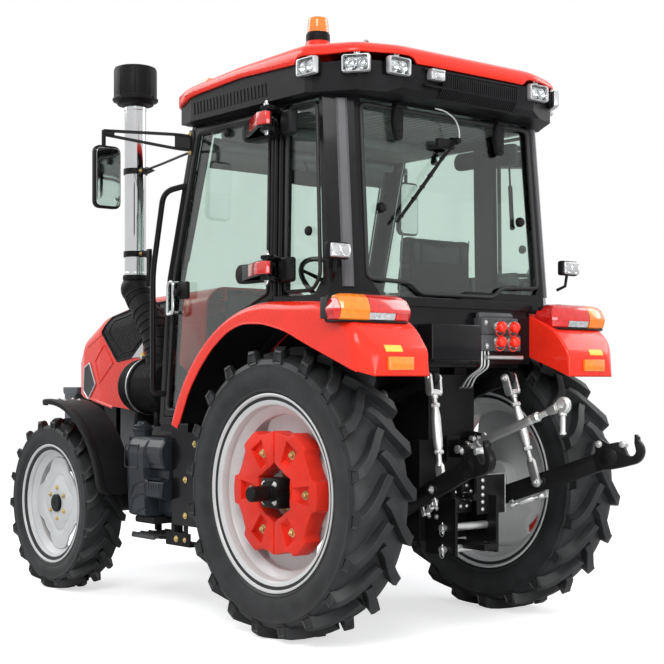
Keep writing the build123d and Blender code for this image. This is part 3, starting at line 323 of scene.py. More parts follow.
finishLooks = {
    "redPaint": {"slot": "red_paint", "colour": (0.84, 0.028, 0.012), "rough": 0.26, "coat": 0.32,
                 "shine": 0.2, "vary": 0.05, "bump": 0.02, "grain": 60},
    "weightPaint": {"slot": "weight_red", "colour": (0.76, 0.03, 0.014), "rough": 0.38, "coat": 0.06,
                    "shine": 0.2, "vary": 0.12, "bump": 0.35, "grain": 240, "depth": 0.0012},
    "rimPaint": {"slot": "rim_white", "colour": (0.6, 0.61, 0.61), "rough": 0.36, "coat": 0.2, "vary": 0.05,
                 "bump": 0.04, "grain": 90},
    "tyreRubber": {"slot": "tyre", "colour": (0.018, 0.019, 0.02), "rough": 0.48, "shine": 0.3, "vary": 0.35,
                   "patch": 9, "bump": 0.3, "grain": 320, "uneven": 0.12, "depth": 0.0008},
    "postGrey": {"slot": "cab_black", "colour": (0.075, 0.075, 0.082), "rough": 0.34, "coat": 0.2,
                 "vary": 0.08, "bump": 0.05, "grain": 60},
    "cabGloss": {"slot": "cab_black", "colour": (0.006, 0.006, 0.007), "rough": 0.24, "coat": 0.12,
                 "shine": 0.14, "vary": 0.3, "bump": 0.03, "grain": 50},
    "blackPlastic": {"slot": "black_plastic", "colour": (0.011, 0.011, 0.012), "rough": 0.44, "vary": 0.25,
                     "bump": 0.4, "grain": 700, "uneven": 0.08, "shine": 0.1},
    "tankPlastic": {"slot": "tank_plastic", "colour": (0.02, 0.024, 0.03), "rough": 0.33, "vary": 0.2,
                    "bump": 0.2, "grain": 420, "uneven": 0.1, "shine": 0.26},
    "blackSteel": {"slot": "black_steel", "colour": (0.006, 0.006, 0.0065), "rough": 0.34, "vary": 0.3,
                   "bump": 0.15, "grain": 150, "uneven": 0.1, "shine": 0.15},
    "chromePlate": {"slot": "chrome", "colour": (0.56, 0.57, 0.58), "rough": 0.08, "metal": 1, "vary": 0.04,
                    "bump": 0.02, "uneven": 0.03},
    "zincPlate": {"slot": "zinc_steel", "colour": (0.6, 0.61, 0.6), "rough": 0.36, "metal": 0.85,
                  "vary": 0.16, "bump": 0.2, "grain": 260, "uneven": 0.1},
    "brassPlate": {"slot": "brass_bolt", "colour": (0.62, 0.48, 0.22), "rough": 0.3, "metal": 1, "vary": 0.2,
                   "bump": 0.2},
    "castGrey": {"slot": "cast_grey", "colour": (0.06, 0.062, 0.066), "rough": 0.55, "vary": 0.3, "bump": 0.5,
                 "grain": 300, "depth": 0.0015},
    "weightGrey": {"slot": "weight_grey", "colour": (0.07, 0.078, 0.088), "rough": 0.5, "vary": 0.2,
                   "bump": 0.35, "grain": 260},
    "seatCover": {"slot": "seat_fabric", "colour": (0.012, 0.012, 0.013), "rough": 0.6, "vary": 0.3,
                  "bump": 0.5, "weave": 260, "sheen": 0.12},
    "meshBlack": {"slot": "black_plastic", "colour": (0.02, 0.021, 0.023), "rough": 0.42, "vary": 0.2,
                  "bump": 1.0, "weave": 90, "depth": 0.004},
    "silverTrim": {"slot": "lamp_body", "colour": (0.55, 0.56, 0.57), "rough": 0.3, "metal": 0.7,
                   "vary": 0.06, "bump": 0.05},
    "reflectorBowl": {"slot": "lamp_body", "colour": (0.75, 0.76, 0.77), "rough": 0.12, "metal": 1,
                      "vary": 0.25, "patch": 60, "bump": 0.6, "grain": 90, "depth": 0.002},
    "orangeLens": {"slot": "lens_orange", "colour": (0.9, 0.23, 0.01), "rough": 0.14, "coat": 0.8,
                   "vary": 0.12, "patch": 40, "bump": 0.3, "grain": 120},
    "redLens": {"slot": "lens_red", "colour": (0.62, 0.012, 0.01), "rough": 0.14, "coat": 0.8, "vary": 0.15,
                "patch": 40, "bump": 0.3, "grain": 120},
    "yellowPatch": {"slot": "lens_orange", "colour": (0.8, 0.55, 0.07), "rough": 0.4, "vary": 0.06,
                    "bump": 0.05},
    "whitePlastic": {"slot": "lamp_body", "colour": (0.62, 0.63, 0.62), "rough": 0.4, "vary": 0.06,
                     "bump": 0.1},
    "seatGrey": {"slot": "black_plastic", "colour": (0.2, 0.21, 0.21), "rough": 0.6, "vary": 0.1,
                 "bump": 0.3},
    "rubberSeal": {"slot": "rubber", "colour": (0.008, 0.008, 0.008), "rough": 0.6, "vary": 0.3, "bump": 0.3},
    "mirrorSilver": {"slot": "mirror_glass", "colour": (0.78, 0.8, 0.8), "rough": 0.03, "metal": 1,
                     "vary": 0.02, "bump": 0.0, "uneven": 0.01},
}
finish = {name: makeFinish(name, look) for name, look in finishLooks.items()}


def makeGlass(name, tint, rough=0.0, haze=0.0):
    # tinted safety glass with faint dust, or a clear lens
    material = bpy.data.materials.new(name)
    material.use_nodes = True
    tree = material.node_tree
    shader = tree.nodes["Principled BSDF"]
    shader.inputs["Transmission Weight"].default_value = 1
    shader.inputs["IOR"].default_value = 1.45
    where = tree.nodes.new("ShaderNodeTexCoord")
    dust = tree.nodes.new("ShaderNodeTexNoise")
    dust.inputs["Scale"].default_value = 3
    dust.inputs["Detail"].default_value = 5
    tree.links.new(where.outputs["Object"], dust.inputs["Vector"])
    ramp = tree.nodes.new("ShaderNodeValToRGB")
    ramp.color_ramp.elements[0].color = (*tint, 1)
    ramp.color_ramp.elements[1].color = (*[min(c * 1.07, 1) for c in tint], 1)
    tree.links.new(dust.outputs["Fac"], ramp.inputs["Fac"])
    tree.links.new(ramp.outputs["Color"], shader.inputs["Base Color"])
    gloss = tree.nodes.new("ShaderNodeMapRange")
    gloss.inputs["To Min"].default_value = rough
    gloss.inputs["To Max"].default_value = rough + haze
    tree.links.new(dust.outputs["Fac"], gloss.inputs["Value"])
    tree.links.new(gloss.outputs["Result"], shader.inputs["Roughness"])
    return material


finish["cabGlass"] = makeGlass("cabGlass", (0.69, 0.785, 0.74), 0.0, 0.02)
finish["clearLens"] = makeGlass("clearLens", (0.93, 0.95, 0.95), 0.02, 0.05)
print("finishes made")

# wheels
rearTyre = {"radius": (rearHigh.z - rearLow.z) / 2, "width": rearHigh.y - rearLow.y,
            "middle": (rearLow.y + rearHigh.y) / 2, "x": 0, "bead": 0.452, "carcass": 0.625, "lugs": 20,
            "lugWidth": 0.019, "lugSweep": 0.3, "phase": 0.027 / 0.67 - pi / 2 - 0.3 * 0.68}
frontTyre = {"radius": (frontHigh.z - frontLow.z) / 2, "width": frontHigh.y - frontLow.y,
             "middle": (frontLow.y + frontHigh.y) / 2, "x": (frontLow.x + frontHigh.x) / 2 - axleX,
             "bead": 0.333, "carcass": 0.449, "lugs": 18, "lugWidth": 0.0145, "lugSweep": 0.3,
             "phase": 0.02 / 0.485 - pi / 2 - 0.3 * 0.68}


def tyreProfile(size):
    # (across, radius) from the outer bead over the tread; the other half is its mirror image
    half, bead, crown = size["width"] / 2, size["bead"], size["carcass"]
    wall = crown - bead
    return [(half * 0.8, bead - 0.03), (half * 0.84, bead + 0.004), (half * 0.9, bead + 0.014),
            (half * 0.905, bead + 0.02), (half * 0.9, bead + 0.023), (half * 0.965, bead + wall * 0.3),
            (half * 0.985, bead + wall * 0.48), (half * 0.98, bead + wall * 0.62),
            (half * 0.975, bead + wall * 0.74), (half * 0.985, bead + wall * 0.77),
            (half * 0.97, bead + wall * 0.8), (half * 0.93, bead + wall * 0.9), (half * 0.82, crown - 0.008),
            (half * 0.55, crown), (half * 0.25, crown + 0.004)]


def carcassRadius(size, y):
    profile = tyreProfile(size)[-5:]
    for (y0, r0), (y1, r1) in zip(profile, profile[1:]):
        if y1 <= y <= y0:
            return r0 + (r1 - r0) * (y0 - y) / (y0 - y1)
    return profile[-1][1] if y < profile[-1][0] else profile[0][1]


def buildTyre(bm, size):
    half = tyreProfile(size)
    profile = half + [(-y, r) for y, r in reversed(half)]
    centre = Vector((size["x"], size["middle"], size["radius"]))
    addLathe(bm, profile, centre, steps=160, loop=True)
    reach = size["width"] / 2
    top = size["radius"]
    deep = top - size["carcass"]
    # along each lug: share of the way out, top radius, base radius
    stations = ((-0.07, top - 0.004, None), (0.12, top, None), (0.34, top, None), (0.55, top - 0.001, None),
                (0.74, top - 0.004, None), (0.88, top - 0.01, None), (0.965, top - 0.017, top - deep * 1.5),
                (1.0, top - 0.026, top - deep * 1.75))
    for number in range(size["lugs"]):
        for hand in (1, -1):
            start = size["phase"] + 2 * pi * (number + (0 if hand > 0 else 0.5)) / size["lugs"]
            rings = []
            for share, high, low in stations:
                y = share * reach
                sweep = size["lugSweep"] * (1 - (1 - max(share, 0)) ** 1.45)
                slope = size["lugSweep"] * 1.45 * (1 - max(share, 0)) ** 0.45 * top / reach
                lean = hypot(1, slope)
                wide = size["lugWidth"] * (1.25 if share > 0.8 else 1 + 0.12 * max(share, 0))
                low = low or carcassRadius(size, abs(y)) - 0.008
                ring = []
                for way, radius, spread in ((-1, low, 1.5), (-1, high, 1), (1, high, 1), (1, low, 1.5)):
                    across = y - way * wide * spread * slope / lean * (share < 0.9)
                    angle = start + sweep + way * wide * spread / (lean if share < 0.9 else 1) / top
                    ring.append(centre + Vector((radius * cos(angle), hand * across, radius * sin(angle))))
                rings.append(ring)
            faces = addSolid(bm, rings)[1]
            outer = faces[-1]
            bmesh.ops.inset_region(bm, faces=[outer], thickness=size["lugWidth"] * 0.45, depth=0)
            bmesh.ops.translate(bm, verts=outer.verts, vec=(0, -hand * 0.008, 0))


for size, end in ((rearTyre, "rear"), (frontTyre, "front")):
    bothSides("tyreRubber", f"{end}_wheel_SIDE", f"{end}LuggedTyre", [f"{end}_tyre_SIDE"], angle=28,
              bevel=0.0035)(lambda bm: buildTyre(bm, size))

rearRim = {"flange": 0.455, "half": 0.1425, "seat": 0.402, "well": 0.362, "disc": 0.02, "hub": 0.075}
frontRim = {"flange": 0.336, "half": 0.1025, "seat": 0.297, "well": 0.262, "disc": 0.045, "hub": 0.05}


def buildBarrel(bm, rim, tyre):
    # rolled flanges, bead seats, a ridge and the well, seen from inside and out
    half, flange, seat, well = rim["half"], rim["flange"], rim["seat"], rim["well"]
    inner = [(half - 0.006, flange - 0.003), (half + 0.001, flange), (half + 0.003, flange - 0.005),
             (half + 0.001, flange - 0.011), (half - 0.008, flange - 0.016), (half - 0.012, seat + 0.012),
             (half - 0.02, seat), (half * 0.66, seat - 0.006), (half * 0.6, seat - 0.004),
             (half * 0.54, seat - 0.01), (half * 0.4, well + 0.002), (half * 0.36, well - 0.004)]
    outer = [(half * 0.36, well + 0.01), (half * 0.5, seat + 0.006), (half - 0.016, seat + 0.01),
             (half - 0.012, flange - 0.004)]
    profile = inner + [(-y, r) for y, r in reversed(inner)]
    profile += [(-y, r) for y, r in reversed(outer)] + outer
    addLathe(bm, profile, (tyre["x"], tyre["middle"], tyre["radius"]), steps=128, loop=True)


def buildDisc(bm, rim, tyre, shape, cuts, cutAngle, cutWide, cutDeep):
    # a dished plate; its edge draws in at each cutout. shape: (share of the radius, across)
    centre = Vector((tyre["x"], tyre["middle"], tyre["radius"]))
    steps = 192
    edge = rim["well"] - 0.003
    rings = []
    for side in (0.005, -0.005):
        rows = []
        for share, across in shape:
            row = []
            for angle in turn(steps):
                near = abs((angle - cutAngle + pi / cuts) % (2 * pi / cuts) - pi / cuts)
                fade = max(0.0, 1 - near / cutWide)
                fade = fade * fade * (3 - 2 * fade)
                fade = min(fade * 1.5, 1)
                radius = rim["hub"] + (edge - cutDeep * fade - rim["hub"]) * share
                row.append(centre + Vector((radius * cos(angle), across + side, radius * sin(angle))))
            rows.append(row)
        rings.append(rows if side > 0 else rows[::-1])
    made, faces = addRings(bm, rings[0] + rings[1], caps=False)
    first, last = made[0], made[-1]
    for i in range(steps):
        j = (i + 1) % steps
        faces.append(bm.faces.new((last[i], last[j], first[j], first[i])))
    bmesh.ops.recalc_face_normals(bm, faces=faces)


@bothSides("rimPaint", "rear_wheel_SIDE", covers=["rear_rim_SIDE"], angle=30)
def rearRimPressed(bm):
    buildBarrel(bm, rearRim, rearTyre)
    y = rearRim["disc"]
    buildDisc(bm, rearRim, rearTyre, ((0, y), (0.5, y), (0.72, y), (0.8, y - 0.01), (0.93, y - 0.012),
                                      (1, y - 0.006)), 4, radians(45), 0.36, 0.062)
    centre = (rearTyre["x"], rearTyre["middle"], rearTyre["radius"])
    addLathe(bm, [(y - 0.08, 0.0), (y - 0.08, 0.096), (y - 0.006, 0.096), (y - 0.006, 0.0)], centre, steps=48)


@bothSides("rimPaint", "front_wheel_SIDE", covers=["front_rim_SIDE"], angle=30)
def frontRimPressed(bm):
    buildBarrel(bm, frontRim, frontTyre)
    y = frontRim["disc"]
    buildDisc(bm, frontRim, frontTyre,
              ((0, y + 0.006), (0.22, y + 0.006), (0.34, y + 0.004), (0.44, y - 0.006), (0.52, y - 0.01),
               (0.6, y - 0.004), (0.68, y - 0.002), (0.9, y - 0.01), (1, y - 0.006)),
              4, radians(45), 0.62, 0.05)
    centre = (frontTyre["x"], frontTyre["middle"], frontTyre["radius"])
    addLathe(bm, [(-0.07, 0.0), (-0.07, 0.078), (y - 0.008, 0.078), (y - 0.008, 0.0)], centre, steps=48)


frontHub = {"boltCircle": 0.0875, "bolts": 6, "cap": 0.05, "face": frontRim["disc"] + 0.011}


@bothSides("blackSteel", "front_wheel_SIDE")
def frontHubCap(bm):
    centre = (frontTyre["x"], frontTyre["middle"], frontTyre["radius"])
    y, r = frontHub["face"], frontHub["cap"]
    addLathe(bm, [(y - 0.01, 0.0), (y - 0.01, r), (y + 0.012, r), (y + 0.016, r * 0.9), (y + 0.016, r * 0.2),
                  (y + 0.013, r * 0.15), (y + 0.013, 0.0)], centre, steps=48)


@bothSides("brassPlate", "front_wheel_SIDE")
def frontHubBolts(bm):
    for angle in turn(frontHub["bolts"], 0.5):
        at = (frontTyre["x"] + frontHub["boltCircle"] * cos(angle), frontTyre["middle"] + frontHub["face"],
              frontTyre["radius"] + frontHub["boltCircle"] * sin(angle))
        addBolt(bm, at, (0, 1, 0), 0.0095, 0.009)


weightRing = {"outer": 0.312, "waist": 0.286, "bore": 0.118, "back": rearRim["disc"] + 0.007, "thick": 0.092,
              "boltCircle": 0.206, "boltAngles": (-58, 0, 58), "lugAngles": (-52, 0, 52),
              "lugHalf": 12, "split": 0.003}


def buildWeightHalf(bm, hand):
    # one cast half: blocks on its edge, a notched bore
    outline = []
    ring = weightRing
    for degree in range(-90, 91, 3):
        angle = radians(degree)
        onLug = any(abs(degree - lug) <= ring["lugHalf"] for lug in ring["lugAngles"])
        radius = ring["outer"] if onLug else ring["waist"] + 0.012 * cos(radians(degree * 6.9))
        x = radius * cos(angle)
        outline.append((max(x, ring["split"]), radius * sin(angle)))
    for degree in range(90, -91, -15):
        angle = radians(degree)
        radius = ring["bore"] * (1.16 if (degree // 15) % 4 == 2 else 1.0)
        outline.append((max(radius * cos(angle), ring["split"]), radius * sin(angle)))
    cx, cz = rearTyre["x"], rearTyre["radius"]
    points = [(cx + hand * x, cz + z) for x, z in outline]
    start = rearTyre["middle"] + ring["back"]
    addPrism(bm, points, "y", start, start + ring["thick"], bevel=0.007)


def buildPockets(bm):
    ring = weightRing
    face = rearTyre["middle"] + ring["back"] + ring["thick"]
    for hand in (1, -1):
        for degree in ring["boltAngles"]:
            angle = radians(degree)
            out = Vector((hand * cos(angle), 0, sin(angle)))
            across = Vector((-out.z, 0, out.x))
            low, high = [], []
            # a trapezoid, wider away from the hub: share out, half width
            for reach, half in ((-0.045, 0.03), (-0.045, -0.03), (0.048, -0.046), (0.048, 0.046)):
                p = Vector((rearTyre["x"], 0, rearTyre["radius"])) + out * (ring["boltCircle"]
                        + reach) + across * half
                slope = 0.03 if reach < 0 else 0.004
                low.append(Vector((p.x, face - 0.024, p.z)))
                high.append(Vector((p.x, face + 0.01, p.z)) - out * slope * (reach < 0))
            addSolid(bm, [low, high])


def carve(piece, cutter):
    # takes the cutter's shape out of a piece, then removes the cutter
    modifier = piece.modifiers.new("carve", "BOOLEAN")
    modifier.object, modifier.operation, modifier.solver = cutter, "DIFFERENCE", "EXACT"
    bpy.context.view_layer.update()
    carved = bpy.data.meshes.new_from_object(piece.evaluated_get(bpy.context.evaluated_depsgraph_get()))
    piece.modifiers.remove(modifier)
    piece.data = carved
    for polygon in carved.polygons:
        polygon.use_smooth = True
    carved.set_sharp_from_angle(angle=radians(30))
    bpy.data.objects.remove(cutter)


def cutterObject(build, flip):
    bm = bmesh.new()
    build(bm)
    return meshObject("cutter", bm, flip)


for side, k in sides:
    for half, hand in (("Front", 1), ("Back", -1)):
        bm = bmesh.new()
        buildWeightHalf(bm, hand)
        casting = makePiece(f"weight{half}_{side}", bm, "weightPaint", f"rear_wheel_{side}",
                            covers=[f"wheel_weights_{side}"], flip=k < 0)
        carve(casting, cutterObject(buildPockets, k < 0))


@bothSides("brassPlate", "rear_wheel_SIDE")
def weightBolts(bm):
    ring = weightRing
    face = rearTyre["middle"] + ring["back"] + ring["thick"] - 0.024
    for hand in (1, -1):
        for degree in ring["boltAngles"]:
            angle = radians(degree)
            at = (rearTyre["x"] + hand * ring["boltCircle"] * cos(angle), face,
                  rearTyre["radius"] + ring["boltCircle"] * sin(angle))
            addBolt(bm, at, (0, 1, 0), 0.0145, 0.013)
    for angle in turn(8, 0.5):
        at = (rearTyre["x"] + 0.088 * cos(angle), rearTyre["middle"] + rearRim["disc"] + 0.006,
              rearTyre["radius"] + 0.088 * sin(angle))
        addBolt(bm, at, (0, 1, 0), 0.011, 0.014)


hubSize = {"start": 0.027, "end": 0.155, "radius": 0.066, "shaftRadius": 0.036, "shaftEnd": 0.255}


@bothSides("blackSteel", "rear_wheel_SIDE")
def wedgeHub(bm):
    # the clamp that holds the wheel on its bar axle
    x, middle, z = rearTyre["x"], rearTyre["middle"], rearTyre["radius"]
    hub = hubSize
    addLathe(bm, [(hub["start"], 0), (hub["start"], 0.064), (hub["end"] - 0.03, 0.06), (hub["end"], 0.056),
                  (hub["end"], 0)], (x, middle, z), steps=40)
    for up in (1, -1):
        addBox(bm, (x - 0.064, middle + hub["start"], z + up * 0.04 - 0.028),
               (x + 0.064, middle + hub["end"] - 0.012, z + up * 0.04 + 0.028), 0.008)
    addLathe(bm, [(hub["start"], 0), (hub["start"], hub["shaftRadius"]),
                  (hub["shaftEnd"] - 0.006, hub["shaftRadius"]),
                  (hub["shaftEnd"], hub["shaftRadius"] - 0.006), (hub["shaftEnd"], 0)],
             (x, middle, z), steps=48)


@bothSides("zincPlate", "rear_wheel_SIDE")
def wedgeHubBolts(bm):
    x, middle, z = rearTyre["x"], rearTyre["middle"], rearTyre["radius"]
    for dx in (-0.04, 0.04):
        for dz in (-0.04, 0.04):
            addBolt(bm, (x + dx, middle + hubSize["end"] - 0.012, z + dz), (0, 1, 0), 0.01, 0.009)


print("wheels made")

# the cab's walls lean in a little towards the roof
cab = {"sideLow": 0.725, "sideHigh": 0.7, "lowZ": 0.96, "highZ": 2.47, "rearLow": -0.421, "rearHigh": -0.3,
       "midZ": 1.71, "frontLow": 1.092, "frontMid": 1.035, "frontHigh": 0.82}


def sideY(z):
    share = (z - cab["lowZ"]) / (cab["highZ"] - cab["lowZ"])
    return cab["sideLow"] + (cab["sideHigh"] - cab["sideLow"]) * share


def rearX(z):
    share = (z - cab["lowZ"]) / (cab["highZ"] - cab["lowZ"])
    return cab["rearLow"] + (cab["rearHigh"] - cab["rearLow"]) * share


def frontX(z):
    if z < cab["midZ"]:
        share = (z - cab["lowZ"]) / (cab["midZ"] - cab["lowZ"])
        return cab["frontLow"] + (cab["frontMid"] - cab["frontLow"]) * share
    share = (z - cab["midZ"]) / (cab["highZ"] - cab["midZ"])
    return cab["frontMid"] + (cab["frontHigh"] - cab["frontMid"]) * share


def onSide(x, z, out=0.0):
    return (x, sideY(z) + out, z)


def onRear(y, z, out=0.0):
    return (rearX(z) - out, y, z)


def ringPath(points, radius=0.03):
    # a closed line with rounded corners, its start in the middle of the first run
    first, second = Vector(points[0]), Vector(points[1])
    middle = (first + second) / 2
    return smoothPath([middle] + [Vector(p) for p in points[1:]] + [first, middle], radius, 4)


@bothSides("cabGloss")
def pillarRibs(bm):
    # two rounded rubber ribs up the door pillar, and one down each edge of the quarter window
    for x in (0.068, 0.106):
        addTube(bm, [onSide(x, z, 0.002) for z in (1.575, 2.0, 2.445)], 0.013, 14)
    addTube(bm, [onSide(0.036, z, 0.0) for z in (1.6, 2.43)], 0.007, 10)
    addTube(bm, [onSide(0.136, z, 0.0) for z in (1.6, 2.43)], 0.007, 10)


@bothSides("rubberSeal")
def quarterSeal(bm):
    rim = [(0.03, 2.435), (0.03, 1.59), (-0.172, 1.59), (-0.222, 1.65), (-0.182, 2.435)]
    addTube(bm, ringPath([onSide(x, z, 0.001) for x, z in rim], 0.035), 0.009, 10)


doorEdge = [(0.17, 2.425), (0.77, 2.425), (0.966, 1.71), (1.018, 1.03), (0.852, 1.03), (0.757, 1.196),
            (0.594, 1.382), (0.39, 1.512), (0.196, 1.582), (0.17, 1.59)]


@bothSides("rubberSeal", "door_SIDE")
def doorSeal(bm):
    addTube(bm, ringPath([onSide(x, z, 0.001) for x, z in doorEdge], 0.03), 0.008, 10)


@bothSides("chromePlate", "door_SIDE")
def doorHandle(bm):
    # an upright loop on two feet
    points = [onSide(0.944 + dx, 1.606 + dz, 0.04) for dx, dz in
              ((-0.026, -0.082), (0.026, -0.088), (0.024, 0.076), (-0.024, 0.082))]
    addTube(bm, ringPath(points, 0.024), 0.0085, 14)
    for z in (1.53, 1.684):
        addTube(bm, [onSide(0.944, z, -0.004), onSide(0.944, z, 0.04)], 0.01, 14)


@bothSides("blackPlastic", "door_SIDE")
def doorLock(bm):
    x, z = 0.866, 1.64
    low, high = onSide(x - 0.045, z - 0.045, -0.002), onSide(x + 0.05, z + 0.045, 0.022)
    addBox(bm, low, high, 0.01)
    addLathe(bm, [(0.02, 0), (0.02, 0.019), (0.04, 0.019), (0.046, 0.013), (0.046, 0)],
             (x + 0.03, sideY(z), z - 0.01), 28)


hingePin = {"x": -0.03, "y": 0.87, "heights": (2.365, 1.69), "armEnd": 0.32, "padStart": 0.135,
            "padEnds": (0.362, 0.4)}


def hingeArm(x0, y0, x1, y1, half):
    # the outline of an arm seen from above, thick at the pin and thin at its end
    return [(x0 - 0.024, y0 - 0.014), (x0 - 0.02, y0 + 0.016), (x0 + 0.04, y0 + 0.021), (x1, y1 + half),
            (x1 + 0.004, y1 + half * 0.5), (x1, y1 - 0.006), (x1 - 0.14, y1 - 0.006),
            (x0 + 0.098, y0 - 0.044)]


@bothSides("blackPlastic", "door_SIDE")
def hingeArms(bm):
    pin = hingePin
    for z in pin["heights"]:
        wall = sideY(z)
        outline = hingeArm(pin["x"], pin["y"], pin["armEnd"], wall + 0.004, 0.036)
        addPrism(bm, outline, "z", z - 0.034, z + 0.034, bevel=0.009, segments=3)
    # a rounded pad clamps the glass under the end of each arm
    for z, far in zip(pin["heights"], pin["padEnds"]):
        ends = [(far - 0.04 + 0.04 * cos(a), z + 0.046 * sin(a))
                for a in [pi * (k / 12 - 0.5) for k in range(13)]]
        ring = [(pin["padStart"], z - 0.046)] + ends + [(pin["padStart"], z + 0.046)]
        addPrism(bm, ring, "y", sideY(z) - 0.006, sideY(z) + 0.026, bevel=0.008, segments=3)


@bothSides("blackPlastic")
def hingeEars(bm):
    pin = hingePin
    for z in pin["heights"]:
        wall = sideY(z)
        for low in (z - 0.056, z + 0.0395):
            ear = [(pin["x"] - 0.026, pin["y"] + 0.014), (pin["x"] + 0.02, pin["y"] + 0.02),
                   (0.112, wall + 0.01), (0.112, wall - 0.004), (0.056, wall - 0.004),
                   (pin["x"] - 0.03, pin["y"] - 0.02)]
            addPrism(bm, ear, "z", low, low + 0.0165, bevel=0.004)
        # the cast root on the pillar behind the pin, with a raised lip
        root = [(-0.03, wall - 0.004), (0.052, wall - 0.004), (0.052, wall + 0.03), (0.0, wall + 0.062),
                (-0.052, wall + 0.06), (-0.07, wall + 0.02)]
        addPrism(bm, root, "z", z - 0.056, z + 0.056, bevel=0.012, segments=3)


@bothSides("chromePlate")
def hingePins(bm):
    pin = hingePin
    for z in pin["heights"]:
        addLathe(bm, [(-0.076, 0), (-0.076, 0.006), (-0.07, 0.009), (-0.06, 0.009), (-0.06, 0.013),
                      (-0.056, 0.013), (-0.056, 0.008), (0.056, 0.008), (0.056, 0.014), (0.066, 0.014),
                      (0.068, 0.009), (0.078, 0.008), (0.082, 0.004), (0.082, 0)],
                 (pin["x"], pin["y"], z), 24, "z")


@bothSides("redLens", "door_SIDE")
def hingeMarks(bm):
    # a red pad set into the outer face of each arm
    pin = hingePin
    for z in pin["heights"]:
        start = (pin["x"] + 0.04, pin["y"] + 0.021)
        end = (pin["armEnd"], sideY(z) + 0.04)
        slope = (end[1] - start[1]) / (end[0] - start[0])
        far = pin["x"] + 0.205
        edge = start[1] + slope * (far - start[0])
        outline = [(pin["x"] - 0.022, pin["y"] - 0.004), (pin["x"] - 0.029, pin["y"] + 0.004),
                   (pin["x"] - 0.022, pin["y"] + 0.026), (start[0], start[1] + 0.008), (far, edge + 0.008),
                   (far + 0.004, edge - 0.006), (start[0], start[1] - 0.006)]
        addPrism(bm, outline, "z", z - 0.028, z + 0.03, bevel=0.004)


def addKnob(bm, at, along, radius=0.022, height=0.014):
    # a domed cap that clamps the glass
    at, along = Vector(at), Vector(along).normalized()
    side = along.orthogonal().normalized()
    up = along.cross(side)
    rings = []
    for lift, r in ((-0.004, radius), (height * 0.35, radius), (height * 0.8, radius * 0.8),
                    (height, radius * 0.35)):
        rings.append([at + along * lift + (side * cos(a) + up * sin(a)) * r
                      for a in turn(24)])
    addRings(bm, rings)


@bothSides("blackPlastic", "door_SIDE")
def sideKnobs(bm):
    for x, z in ((0.27, 2.365), (0.21, 2.365), (0.27, 1.69), (0.21, 1.69)):
        addKnob(bm, onSide(x, z, 0.03), (0, 1, 0), 0.012, 0.012)
    addKnob(bm, onSide(0.52, 2.395, -0.002), (0, 1, 0))


@bothSides("blackPlastic")
def quarterKnob(bm):
    addKnob(bm, onSide(-0.13, 1.86, -0.002), (0, 1, 0))


# rear window: it opens upward on two hinges, held by gas struts
rearWindow = {"hingeY": 0.335, "hingeTop": 2.455}


@onePiece("blackPlastic")
def rearHinges(bm):
    for k in (1, -1):
        y = k * rearWindow["hingeY"]
        top, low = rearWindow["hingeTop"], 2.285
        outline = [(y - 0.028, top), (y + 0.028, top), (y + 0.03, 2.375), (y + 0.023, low + 0.016),
                   (y + 0.011, low), (y - 0.011, low), (y - 0.023, low + 0.016), (y - 0.03, 2.375)]
        rings = []
        for out in (-0.004, 0.016, 0.022):
            shrink = 0.82 if out > 0.02 else 1
            rings.append([(rearX(z) - out - 0.012 * (z > 2.4), y + (py - y) * shrink, z)
                          for py, z in outline])
        addSolid(bm, rings)
        addKnob(bm, onRear(y, low + 0.028, 0.02), (-1, 0, 0), 0.015, 0.01)
        addTube(bm, [(rearX(2.44) - 0.034, y - 0.034, 2.44),
                     (rearX(2.44) - 0.034, y + 0.034, 2.44)], 0.012, 14)
    for y, z in ((0.458, 1.965), (-0.458, 1.965)):
        addKnob(bm, onRear(y, z, 0.0), (-1, 0, 0), 0.024, 0.024)


@onePiece("rubberSeal")
def rearSeal(bm):
    half, top, low, step = 0.548, 2.432, 1.63, 1.582
    rim = [(half, top), (half + 0.014, 1.64), (0.3, low), (0.24, step), (-0.24, step), (-0.3, low),
           (-half - 0.014, 1.64), (-half, top)]
    addTube(bm, ringPath([onRear(y, z, 0.001) for y, z in rim], 0.03), 0.01, 10)


wiper = {"pivot": (-0.02, 2.318), "tip": (0.375, 1.905)}


@onePiece("blackPlastic")
def rearWiper(bm):
    (y0, z0), (y1, z1) = wiper["pivot"], wiper["tip"]
    addLathe(bm, [(-0.05, 0), (-0.05, 0.014), (-0.034, 0.017), (-0.01, 0.017), (0.0, 0.022), (0.004, 0.022),
                  (0.004, 0)], onRear(y0, z0), 24, "x")
    addBox(bm, onRear(y0 + 0.01, z0 - 0.042, 0.028), onRear(y0 + 0.118, z0 + 0.006, 0.004), 0.008)
    for shift, r in ((0.0, 0.0045), (0.016, 0.0045)):
        addTube(bm, [onRear(y0 + shift, z0 - shift * 0.6, 0.036),
                     onRear(y0 + 0.19 + shift * 0.4, z0 - 0.185, 0.026)], r, 8)
    along = Vector((0, y1 - y0, z1 - z0)).normalized()
    start = Vector((0, y0, z0)) + along * 0.085
    blade, frameBar = [], []
    for k in range(13):
        t = k / 12
        y, z = start.y + (y1 - start.y) * t, start.z + (z1 - start.z) * t
        blade.append(onRear(y, z, 0.007))
        frameBar.append(onRear(y, z, 0.018 + 0.006 * sin(pi * t)))
    addTube(bm, blade, 0.0045, 6)
    addTube(bm, frameBar, 0.005, 8)
    for k in (1, 4, 6, 8, 11):
        addBox(bm, Vector(frameBar[k]) - Vector((0.004, 0.008, 0.008)),
               Vector(blade[k]) + Vector((0.004, 0.008, 0.008)), 0.002, 1)


